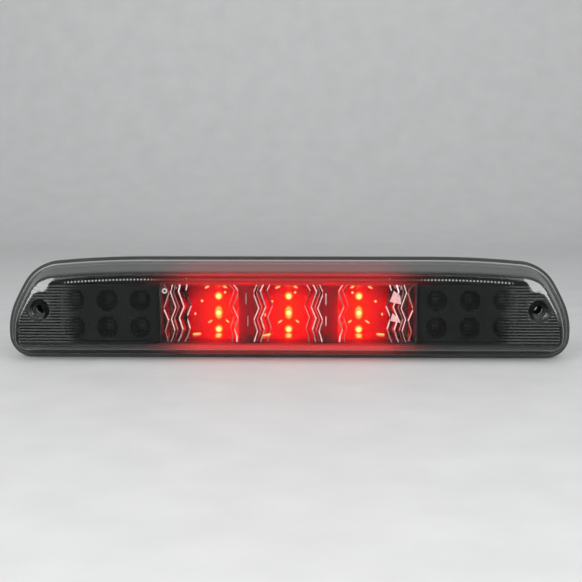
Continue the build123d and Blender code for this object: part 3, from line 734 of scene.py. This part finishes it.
def lens_painted_red_glow(x, y, z):
    """Strength of the painted red glow that stands in for the brake section's light scattered at a place on
    the lens's outer skin.
    """
    if y > FACE_Y + LENS_WALL - 0.4 and abs(z) < RED_INNER_HALF_HEIGHT:
        return 0.0
    beyond = max(0.0, abs(x) - RED_HALF_LENGTH)
    along = math.exp(-(beyond / RED_FADE_LENGTH) ** 2)
    away = max(0.0, z - RED_TOP_Z, RED_BOTTOM_Z - z)
    on_edge = 0.4 + 0.6 * fall(y, FACE_Y + 0.1, FACE_Y + 1.2)
    return along * rise(away, 0.0, 1.5) * on_edge * math.exp(-away / RED_FADE_HEIGHT)


def make_lens():
    """The cover: smooth outside, fluted inside, with a tube for each cab screw."""
    build = Builder()
    rings = []
    for step, depth in ((1.6, 0.0), (0.8, LENS_WALL)):
        points = outline_points(step)
        sections = [lens_profile(math.atan2(abs(nx), nz), depth) for _, _, nx, nz in points]
        loops = []
        for level in range(len(sections[0])):
            loop = []
            for (x, z, nx, nz), section in zip(points, sections):
                inset, y = section[level]
                loop.append((x - nx * inset, y, z - nz * inset))
            loops.append(build.loop(loop))
        for lower, upper in zip(loops, loops[1:]):
            build.bridge(lower, upper)
        rings.append(loops)
    build.zip(rings[0][0], rings[1][0])
    plain_rows = row_range(-34.0, 34.0, 1.5)[::-1]
    fill_face(build, rings[0][-1], FACE_Y, lambda x, z: 0.0, plain_rows,
              lambda z, half: row_range(-half, half, 4.0))
    flute_rows = row_range(FLUTES_BOTTOM_Z, FLUTES_TOP_Z, FLUTE_PITCH / 12)
    upper_rows = row_range(FLUTES_TOP_Z + 0.2, 30.0, 0.3)
    lower_rows = row_range(-30.0, FLUTES_BOTTOM_Z, 0.8)
    rows = sorted(set(flute_rows + upper_rows + lower_rows))
    fill_face(build, rings[1][-1], FACE_Y + LENS_WALL, inner_relief, rows[::-1], lens_columns)
    lens = make_piece("lens_cover", build, [lens_material()], 30.0,
                      replaces=["lens"])
    places = (-SCREW_X, SCREW_X)
    rear_y, front_y = TUBE_REAR_Y + 2, FACE_Y - 2
    tubes = [round_bar("tube", x, TUBE_RADIUS, TUBE_REAR_Y, FACE_Y + LENS_WALL / 2) for x in places]
    holes = [round_bar("hole", x, SCREW_HOLE_RADIUS, rear_y, front_y) for x in places]
    holes += [round_bar("recess", x, RECESS_RADIUS, RECESS_FLOOR_Y, front_y) for x in places]
    for cutter in tubes:
        combine(lens, cutter, "UNION")
    for cutter in holes:
        combine(lens, cutter, "DIFFERENCE")
    shade(lens, 30.0)
    places = [v.co / MM for v in lens.data.vertices]
    upward = [v.normal.z for v in lens.data.vertices]
    fill_float(lens, "scatter_and_highlight", [lens_scatter_and_highlight(*p, up) + screw_tube_scatter(*p) for p, up in zip(places, upward)])
    fill_float(lens, "red", [lens_painted_red_glow(*p) for p in places])
    fill_float(lens, "gloss", [lens_gloss(v.co.y / MM, v.normal) for v in lens.data.vertices])
    return lens


def screw_tube_scatter(x, y, z):
    """Scatter on the skin of the screw tubes."""
    away = math.hypot(abs(x) - SCREW_X, z)
    on_tube = TUBE_RADIUS - 0.2 < away < TUBE_RADIUS + 0.1
    return TUBE_SCATTER if on_tube and y > FACE_Y + LENS_WALL - 0.5 else 0.0


def round_bar(name, x, radius, rear_y, front_y):
    """A closed round bar along Y, used only to cut or add to another mesh."""
    segments = 64
    mesh = bpy.data.meshes.new(name)
    points = []
    for y in (rear_y, front_y):
        points += [((x + radius * c) * MM, y * MM, radius * s * MM) for c, s in turns(segments)]
    sides = [(i, (i + 1) % segments, segments + (i + 1) % segments, segments + i) for i in range(segments)]
    caps = [tuple(range(segments))[::-1], tuple(range(segments, 2 * segments))]
    mesh.from_pydata(points, [], sides + caps)
    bar = bpy.data.objects.new(name, mesh)
    bpy.context.scene.collection.objects.link(bar)
    build = bmesh.new()
    build.from_mesh(mesh)
    bmesh.ops.recalc_face_normals(build, faces=build.faces)
    build.to_mesh(mesh)
    build.free()
    return bar


def combine(piece, cutter, operation):
    """Applies a boolean of one mesh on another and removes the cutter."""
    modifier = piece.modifiers.new("cut", "BOOLEAN")
    modifier.operation = operation
    modifier.solver = "EXACT"
    modifier.object = cutter
    with bpy.context.temp_override(object=piece, active_object=piece, selected_objects=[piece]):
        bpy.ops.object.modifier_apply(modifier="cut")
    bpy.data.objects.remove(cutter)


# ---- brake reflector ----
def zigzag(z):
    """Sideways swing of a ridge at a height, from -1 to 1."""
    for (z0, s0), (z1, s1) in zip(ZIGZAG_KNOTS, ZIGZAG_KNOTS[1:]):
        if z >= z1:
            return s0 + (s1 - s0) * (z - z0) / (z1 - z0)
    return ZIGZAG_KNOTS[-1][1]


def side_columns(edge, inner, ridges):
    """Columns from a window edge towards the bowl: (x, depth share, swing, painted highlight strength of a
    crest).
    """
    direction = 1 if inner > edge else -1
    reach = abs(inner - edge)
    columns = [(edge, 0.0, 0.0, None)]
    last_end, last_swing = 0.0, None
    for middle, half, swing, painted_highlight in ridges:
        valley = (last_end + middle - half) / 2
        valley_swing = 0.0 if last_swing is None or last_swing != swing else swing
        columns.append((edge + direction * valley, valley / reach + VALLEY_SINK, valley_swing, None))
        columns.append((edge + direction * (middle - half), middle / reach, swing, painted_highlight))
        columns.append((edge + direction * (middle + half), middle / reach + CREST_TILT, swing, None))
        last_end, last_swing = middle + half, swing
    steps = max(3, round((reach - last_end) / 1.0))
    for index in range(1, steps + 1):
        part = index / steps
        place = last_end + (reach - last_end) * part
        lift = SIDE_LIFT * math.sin(math.pi * part)
        columns.append((edge + direction * place, place / reach + lift, (1 - part) ** 2 * SIDE_SWING, None))
    return columns


def bowl_depth(share):
    """Depth of the bowl's side at a share of the way from the window's edge to the floor."""
    share = min(1.0, max(0.0, share))
    return MOUTH_Y + (BOWL_FLOOR_Y - MOUTH_Y) * (1 - (1 - share) ** BOWL_CURVE)


def shelf_share(z):
    """How much of the bowl's depth is left near its top and bottom walls."""
    low = rise(z, WINDOW_BOTTOM_Z - 1.2, WINDOW_BOTTOM_Z + 2.2)
    high = min(1.0, (WINDOW_TOP_Z - z) / SHELF_HEIGHT)
    return max(0.0, min(low, high ** SHELF_CURVE if high > 0 else 0.0))


def painted_led_light(x, z):
    """Strength of the painted LED light at a place: up to POOL_MOST in the pool between them and a dim red
    on the dividers, 1 right beside one and on a spot of the bowl floor.
    """
    pool, hot = 0.0, 0.0
    for centre in CELL_CENTRES:
        across, here = (x - centre) / POOL_STRETCH, 0.0
        for row, tall in zip(LED_ROWS_Z, HOT_HEIGHTS):
            here += POOL_SHARE * math.exp(-(math.hypot(across, POOL_SQUASH * (z - row)) / POOL_RADIUS) ** 2)
            hot = max(hot, math.exp(-(math.hypot(x - centre, (z - row) / tall) / HOT_RADIUS) ** 4))
        pool = max(pool, here)
        hot = max(hot, math.exp(-(math.hypot(across, z - FLOOR_SPOT_Z) / FLOOR_SPOT_RADIUS) ** 4))
    divider = fall(abs(abs(x) - DIVIDER_X), 4.5, 7.0) * rise(z, -19.0, -16.0)
    pool = max(pool, DIVIDER_GLOW * divider)
    return max(min(POOL_MOST, pool), hot)


def make_reflector():
    """Three metallised bowls with zigzag ridges down their sides, behind one front frame."""
    build = Builder()
    kinds, painted_highlights = [], []
    knots = [z for z, _ in ZIGZAG_KNOTS]
    rows_z = sorted(set([round(z, 3) for z in row_range(WINDOW_BOTTOM_Z, WINDOW_TOP_Z, 0.9) + knots]))
    ridge_sets = ((OUTER_RIDGES, DIVIDER_RIDGES), (CENTRE_RIDGES, CENTRE_RIDGES),
                  (DIVIDER_RIDGES, OUTER_RIDGES))
    for (left, right), centre, (left_set, right_set) in zip(CELL_WINDOWS, CELL_CENTRES, ridge_sets):
        left_side = side_columns(left, centre - BOWL_FLOOR_HALF, left_set)
        right_side = side_columns(right, centre + BOWL_FLOOR_HALF, right_set)
        floor = [(centre + dx, 1.0, 0.0, None) for dx in range(-6, 7)]
        columns = left_side + floor + right_side[::-1]
        grid = []
        for z in rows_z:
            line = []
            for x, share, swing, _ in columns:
                mirror = 1 if x < centre else -1
                depth = MOUTH_Y + (bowl_depth(share) - MOUTH_Y) * shelf_share(z)
                line.append(build.add((x + mirror * swing * SWING * zigzag(z), depth, z)))
            grid.append(line)
        for z, low, high in zip(rows_z, grid, grid[1:]):
            run = sum(1 for knot in knots[1:-1] if z < knot - 0.01)
            for index in range(len(columns) - 1):
                build.faces.append((low[index], low[index + 1], high[index + 1], high[index]))
                on_left = columns[index][0] < centre
                painted_highlight = columns[index + (0 if on_left else 1)][3]
                kinds.append(1 if painted_highlight else 0)
                painted_highlights.append(painted_highlight[run] if painted_highlight else 0.0)
    strips = [(CELL_WINDOWS[0][0] - BORDER, CELL_WINDOWS[0][0])]
    strips += [(a[1], b[0]) for a, b in zip(CELL_WINDOWS, CELL_WINDOWS[1:])]
    strips += [(CELL_WINDOWS[2][1], CELL_WINDOWS[2][1] + BORDER)]
    for left, right in strips:
        add_strip(build, kinds, row_range(left, right, 1.0), row_range(WINDOW_BOTTOM_Z, WINDOW_TOP_Z, 1.0))
    border_x = row_range(strips[0][0], strips[-1][1], 2.0)
    add_strip(build, kinds, border_x, [WINDOW_BOTTOM_Z - BORDER, WINDOW_BOTTOM_Z])
    add_strip(build, kinds, border_x, [WINDOW_TOP_Z, WINDOW_TOP_Z + BORDER])
    piece = make_piece("reflector_bowls", build, [chrome_material(), ridge_material()], 25.0, kinds,
                       replaces=["brake_reflector"], closed=False)
    fill_float(piece, "painted_glow", [painted_led_light(v.co.x / MM, v.co.z / MM) for v in piece.data.vertices])
    fill_float(piece, "painted_highlight", painted_highlights + [0.0] * (len(kinds) - len(painted_highlights)), "FACE")
    thicken = piece.modifiers.new("wall", "SOLIDIFY")
    thicken.thickness = BOWL_THICKNESS * MM
    thicken.offset = -1.0


def add_strip(build, kinds, xs, zs):
    """A flat grid in the plane of the reflector's mouth."""
    grid = [[build.add((x, MOUTH_Y, z)) for x in xs] for z in zs]
    for low, high in zip(grid, grid[1:]):
        for index in range(len(xs) - 1):
            build.faces.append((low[index], low[index + 1], high[index + 1], high[index]))
            kinds.append(0)


def surface_depth(x, z):
    """Depth of the smooth part of the nearest bowl at a place."""
    centre = min(CELL_CENTRES, key=lambda c: abs(c - x))
    left, right = CELL_WINDOWS[CELL_CENTRES.index(centre)]
    edge = left if x < centre else right
    reach = abs(edge - centre) - BOWL_FLOOR_HALF
    return MOUTH_Y + (bowl_depth(abs(x - edge) / reach) - MOUTH_Y) * shelf_share(z)


def make_glints():
    """Small raised facets in the bowls that carry painted glints of the LEDs."""
    build = Builder()
    for cell, centre in enumerate(CELL_CENTRES):
        side = -1 if cell == 2 else 1
        for dx, z, half_length, half_width, slant in GLINTS:
            x = centre + side * dx
            turn = math.radians(slant * side)
            along = (math.cos(turn), math.sin(turn))
            rim = []
            for u, v in ((-1, 0), (-0.6, -1), (0.6, -1), (1, 0), (0.6, 1), (-0.6, 1)):
                px = x + along[0] * u * half_length - along[1] * v * half_width
                pz = z + along[1] * u * half_length + along[0] * v * half_width
                rim.append((px, pz))
            front = build.loop([(px, surface_depth(px, pz) - GLINT_RISE, pz) for px, pz in rim])
            rear = build.loop([(px, surface_depth(px, pz) + FACET_ROOT, pz) for px, pz in rim])
            build.bridge(front, rear)
            crown = build.add((x, surface_depth(x, z) - GLINT_CROWN, z))
            for index in range(6):
                build.faces.append((front[index], front[(index + 1) % 6], crown))
            build.faces.append(tuple(rear[::-1]))
    make_piece("reflector_facets", build, [glint_material()], 20.0)


def make_corner_webs():
    """Rounded lower corners of the window."""
    build = Builder()
    radius, steps = CORNER_WEB_RADIUS, 14
    for side in (-1, 1):
        corner = (side * -CELL_WINDOWS[0][0], WINDOW_BOTTOM_Z)
        centre = (corner[0] - side * radius, corner[1] + radius)
        arc = []
        for index in range(steps + 1):
            angle = math.pi / 2 * index / steps
            arc.append((centre[0] + side * radius * math.cos(angle), centre[1] - radius * math.sin(angle)))
        flat = [corner] + arc
        front = build.loop([(x, MOUTH_Y - 0.02, z) for x, z in flat])
        rear = build.loop([(x, MOUTH_Y + WEB_THICKNESS, z) for x, z in flat])
        build.bridge(front, rear)
        for index in range(1, len(flat) - 1):
            build.faces.append((front[0], front[index], front[index + 1]))
            build.faces.append((rear[0], rear[index + 1], rear[index]))
    dark = grained("reflector_corner", (0.02, 0.02, 0.021), (0.035, 0.035, 0.037), (0.3, 0.45), 0.8, 0.02)
    make_piece("reflector_corners", build, [dark], 25.0)


def make_painted_highlights():
    """Painted highlights in the ridge material: the ring of the locating pin, the upright streaks on the
    dividers and the large facets with a painted reflection of the room.
    """
    build = Builder()
    rings = []
    for c, s in turns(28):
        ring = []
        for tube_c, tube_s in turns(10):
            radius = PIN_RADIUS - PIN_TUBE_RADIUS + PIN_TUBE_RADIUS * tube_c
            ring.append((PIN_PLACE[0] + radius * c, MOUTH_Y + PIN_DEPTH + PIN_TUBE_RADIUS * tube_s,
                         PIN_PLACE[1] + radius * s))
        rings.append(build.loop(ring))
    for ring, following in zip(rings, rings[1:] + rings[:1]):
        build.bridge(ring, following)
    for x, z, half in STREAKS:
        edge_y = MOUTH_Y - 0.02
        right, left = x + STREAK_HALF_WIDTH, x - STREAK_HALF_WIDTH
        low, high = z - half + STREAK_POINT, z + half - STREAK_POINT
        front = [(x, MOUTH_Y - STREAK_SINK, z - half), (right, edge_y, low), (right, edge_y, high),
                 (x, MOUTH_Y - STREAK_SINK, z + half), (left, edge_y, high), (left, edge_y, low)]
        build.plate(front, [(px, MOUTH_Y + STREAK_SINK, pz) for px, _, pz in front])
    for facet in MIRRORS:
        build.plate([(x, surface_depth(x, z) - MIRROR_RISE, z) for x, z in facet],
                    [(x, surface_depth(x, z) + FACET_ROOT, z) for x, z in facet])
    marks = make_piece("reflector_painted_highlights", build, [ridge_material()], 40.0)
    places = [v.co / MM for v in marks.data.vertices]
    fill_float(marks, "painted_glow", [painted_led_light(p.x, p.z) if abs(p.x) < 60 else 0.0 for p in places])
    # strength of the painted highlights and reflection: dimmer on the left divider, brighter on the right
    # one and on the facets
    fill_float(marks, "painted_highlight", [0.7 if abs(p.x) > 60 else (0.35 if p.x < 0 else 0.8) for p in places])


# ---- LEDs ----
def make_leds():
    """Domed LEDs, brighter towards the tip."""
    look = led_material()
    for name, centre in zip(("left", "center", "right"), CELL_CENTRES):
        build = Builder()
        core = []
        segments = 40
        profile = [(LED_FLANGE_RADIUS, LED_BASE_Y, 0.0), (LED_FLANGE_RADIUS, LED_FLANGE_Y, 0.0),
                   (LED_RADIUS, LED_FLANGE_Y, 0.0), (LED_RADIUS, LED_MIDDLE_Y, 0.05),
                   (LED_RADIUS, LED_SHOULDER_Y, 0.15)]
        dome_steps = 12
        for index in range(1, dome_steps):
            angle = math.pi / 2 * index / dome_steps
            profile.append((LED_RADIUS * math.cos(angle), LED_SHOULDER_Y - LED_RADIUS * math.sin(angle),
                            1 - 0.85 * math.cos(angle) ** 1.5))
        for row in LED_ROWS_Z:
            loops = []
            for radius, y, heat in profile:
                ring = [(centre + radius * c, y, row + radius * s) for c, s in turns(segments)]
                loops.append(build.loop(ring))
                core += [heat] * segments
            for lower, upper in zip(loops, loops[1:]):
                build.bridge(lower, upper)
            tip = build.add((centre, LED_SHOULDER_Y - LED_RADIUS, row))
            core.append(1.0)
            base = build.add((centre, LED_BASE_Y, row))
            core.append(0.0)
            for index in range(segments):
                following = (index + 1) % segments
                build.faces.append((loops[-1][index], loops[-1][following], tip))
                build.faces.append((loops[0][following], loops[0][index], base))
        piece = make_piece(f"led_domes_{name}", build, [look], 40.0,
                           replaces=[f"brake_leds_{name}"])
        fill_float(piece, "core", core)


# ---- materials of the CAD nodes that stay ----
def paint(names, look):
    """Puts one material on CAD nodes."""
    for name in names:
        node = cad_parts[name]
        node.data.materials.clear()
        node.data.materials.append(look.material)


def bezel_material():
    """Dark metallised front plate, with painted shade that darkens it with depth to black inside its LED
    pockets and level stripes of painted shade at the lens's flute pitch.
    """
    look = Look("dark_metallised")
    own = look.axes()
    plate_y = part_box("cargo_bezel_left")[0].y
    depth = look.maths("SUBTRACT", own["Y"], plate_y)
    share = look.maths("DIVIDE", depth, BEZEL_FADE * MM)
    brushed = look.noise(300.0, 3.0, (1.0, 1.0, 14.0))
    speckle = look.maths("MULTIPLY_ADD", brushed, BEZEL_SPECKLE, -BEZEL_SPECKLE / 2)
    # level stripes of painted shade at the lens's flute pitch, standing in for the lines the flutes throw
    # on the plate
    swing = look.maths("MULTIPLY", own["Z"], 2 * math.pi / (FLUTE_PITCH * MM))
    painted_flute_shade = look.maths("MAXIMUM", look.maths("SINE", swing), 0.0)
    painted_flute_shade = look.maths("MULTIPLY", look.maths("MULTIPLY", painted_flute_shade, painted_flute_shade), -BEZEL_FLUTE_SHADE)
    texture = look.maths("ADD", speckle, painted_flute_shade)
    # painted shade: darker with depth into the pockets, with the stripes and speckle on top
    painted_depth_shade = look.maths("ADD", look.maths("ADD", share, BEZEL_START), texture)
    look.colour(painted_depth_shade, [(0.0, (0.2, 0.205, 0.21)), (0.2, (0.07, 0.072, 0.075)),
                           (0.5, (0.022, 0.023, 0.025)), (1.0, (0.002, 0.002, 0.002))])
    look.feed("Roughness", look.maths("MULTIPLY_ADD", share, 0.5, 0.26))
    look.feed("Metallic", look.maths("SUBTRACT", 0.7, look.maths("MINIMUM", share, 0.7)))
    look.feed("Specular IOR Level", look.maths("SUBTRACT", 0.5, look.maths("MINIMUM", share, 0.45)))
    look.bump(brushed, 0.015 * MM)
    return look


def housing_material():
    """Black ABS that loses its gloss inside the two screw bores, which are unlit and rough."""
    look = grained("black_abs", (0.010, 0.010, 0.011), (0.020, 0.020, 0.021), (0.32, 0.48), 0.5, 0.03)
    own = look.axes()
    across = look.maths("SUBTRACT", look.maths("ABSOLUTE", own["X"]), SCREW_X * MM)
    squares = look.maths("ADD", look.maths("MULTIPLY", across, across),
                         look.maths("MULTIPLY", own["Z"], own["Z"]))
    outside = look.maths("GREATER_THAN", squares, ((SCREW_HOLE_RADIUS + 0.2) * MM) ** 2)
    look.feed("Specular IOR Level", look.maths("MULTIPLY", outside, 0.5))
    return look


def paint_nodes():
    """A finish for every CAD node that shows."""
    both = ("left", "right")
    paint(["housing"], housing_material())
    paint([f"cargo_bezel_{side}" for side in both], bezel_material())
    paint(["cab_gasket"], foam_material())
    paint(["brake_board"], board_material())
    paint([f"cargo_board_{side}" for side in both], board_material("black_solder_mask", 0.12))
    rubber = grained("black_rubber", (0.012, 0.012, 0.012), (0.022, 0.022, 0.022), (0.6, 0.8), 0.4, 0.04)
    paint(["wire_grommet"], rubber)
    steel = grained("zinc_steel", (0.45, 0.45, 0.44), (0.62, 0.62, 0.6), (0.25, 0.4), 0.6, 0.02, 1.0)
    paint(["reflector_screws", "bezel_screws_left", "bezel_screws_right"], steel)
    tin = grained("tinned_lead", (0.55, 0.55, 0.56), (0.7, 0.7, 0.72), (0.2, 0.35), 0.5, 0.02, 1.0)
    paint(["brake_led_leads"], tin)
    sealant = grained("cured_sealant", (0.015, 0.015, 0.015), (0.03, 0.03, 0.03), (0.35, 0.6), 1.5, 0.08)
    paint(["lens_sealant"], sealant)
    nylon = grained("white_nylon", (0.62, 0.6, 0.54), (0.72, 0.7, 0.64), (0.35, 0.5), 0.4, 0.02)
    paint(["brake_wire_header"], nylon)
    lacquer = grained("resistor_lacquer", (0.5, 0.38, 0.22), (0.62, 0.48, 0.3), (0.3, 0.45), 0.4, 0.02)
    paint(["brake_resistors"], lacquer)
    epoxy = grained("black_epoxy", (0.01, 0.01, 0.01), (0.025, 0.025, 0.025), (0.35, 0.5), 0.3, 0.02)
    paint(["reverse_diode", "cargo_resistors_left", "cargo_resistors_right"], epoxy)
    # cargo LED packages coloured near black: painted shade of the unlit pockets they sit in
    shaded_package = grained("led_package_painted_shade", (0.010, 0.010, 0.006), (0.020, 0.018, 0.010), (0.4, 0.55), 0.4, 0.01)
    paint([f"cargo_leds_{side}" for side in both], shaded_package)
    jacket = grained("wire_jacket", (0.25, 0.01, 0.01), (0.36, 0.02, 0.02), (0.35, 0.5), 0.5, 0.02)
    paint([f"jumper_wires_{side}" for side in both], jacket)
    vent = grained("vent_plastic", (0.03, 0.03, 0.032), (0.05, 0.05, 0.053), (0.4, 0.55), 0.4, 0.03)
    paint(["breather_vent"], vent)


# ---- studio ----
def area_light(name, place, aim, size, power, roll=0.0):
    """A soft rectangular light aimed at a point."""
    data = bpy.data.lights.new(name, "AREA")
    data.shape = "RECTANGLE"
    data.size, data.size_y = size
    data.energy = power
    light = bpy.data.objects.new(name, data)
    light.location = place
    light.visible_transmission = False
    facing = (Vector(aim) - Vector(place)).to_track_quat("-Z", "Y")
    light.rotation_euler = (facing @ Quaternion((0, 0, 1), roll)).to_euler()
    bpy.context.scene.collection.objects.link(light)


def make_studio():
    """Pale floor that curves up into a backdrop, soft lights and a soft world."""
    floor_z = cad_box[0].z - FLOOR_GAP
    front_y, back_y, bend, height, half = -3.0, 0.9, 0.5, 2.2, 3.0
    profile = [(front_y, floor_z)]
    bend_steps = 16
    for index in range(bend_steps + 1):
        angle = math.pi / 2 * index / bend_steps
        profile.append((back_y + bend * math.sin(angle), floor_z + bend * (1 - math.cos(angle))))
    profile.append((back_y + bend, height))
    mesh = bpy.data.meshes.new("floor")
    points = [(x, y, z) for y, z in profile for x in (-half, half)]
    faces = [(2 * i, 2 * i + 1, 2 * i + 3, 2 * i + 2) for i in range(len(profile) - 1)]
    mesh.from_pydata(points, [], faces)
    for polygon in mesh.polygons:
        polygon.use_smooth = True
    floor = bpy.data.objects.new("floor", mesh)
    bpy.context.scene.collection.objects.link(floor)
    look = Look("pale_floor")
    look.colour(look.noise(30.0, 3.0), [(0.3, (0.60, 0.60, 0.60)), (0.7, (0.64, 0.64, 0.64))])
    look.feed("Roughness", 0.55)
    mesh.materials.append(look.material)

    world = bpy.data.worlds.new("studio")
    bpy.context.scene.world = world
    world.use_nodes = True
    world.node_tree.nodes["Background"].inputs["Color"].default_value = WORLD_COLOUR
    world.node_tree.nodes["Background"].inputs["Strength"].default_value = WORLD_STRENGTH
    area_light("top", TOP_LIGHT_PLACE, (0, 0, 0), TOP_LIGHT_SIZE, TOP_LIGHT_POWER)
    level = math.cos(CORNER_LIGHT_ELEVATION)
    for side in (-1, 1):
        corner = Vector((side * CORNER_LIGHT_AIM[0], *CORNER_LIGHT_AIM[1:]))
        toward = Vector((side * math.sin(CORNER_LIGHT_AZIMUTH) * level,
                         -math.cos(CORNER_LIGHT_AZIMUTH) * level, math.sin(CORNER_LIGHT_ELEVATION)))
        area_light("corner", corner + toward * CORNER_LIGHT_REACH, corner, CORNER_LIGHT_SIZE,
                   CORNER_LIGHT_POWER, -side * CORNER_LIGHT_ROLL)


def make_camera():
    """Camera at the reference view: slightly above and slightly from the right."""
    target = Vector((0.0, FACE_Y * MM, 0.0))
    level = math.cos(CAMERA_ELEVATION)
    back = Vector((math.sin(CAMERA_YAW) * level, -math.cos(CAMERA_YAW) * level, math.sin(CAMERA_ELEVATION)))
    data = bpy.data.cameras.new("camera")
    data.lens = CAMERA_LENS
    data.shift_x = CAMERA_SHIFT_X
    data.shift_y = CAMERA_SHIFT_Y
    camera = bpy.data.objects.new("camera", data)
    camera.location = target + back * CAMERA_DISTANCE
    camera.rotation_euler = (-back).to_track_quat("-Z", "Y").to_euler()
    bpy.context.scene.collection.objects.link(camera)
    bpy.context.scene.camera = camera


make_camera()
make_studio()
paint_nodes()
make_lens()
make_reflector()
make_glints()
make_corner_webs()
make_painted_highlights()
make_leds()
bpy.context.scene.view_settings.view_transform = "Standard"
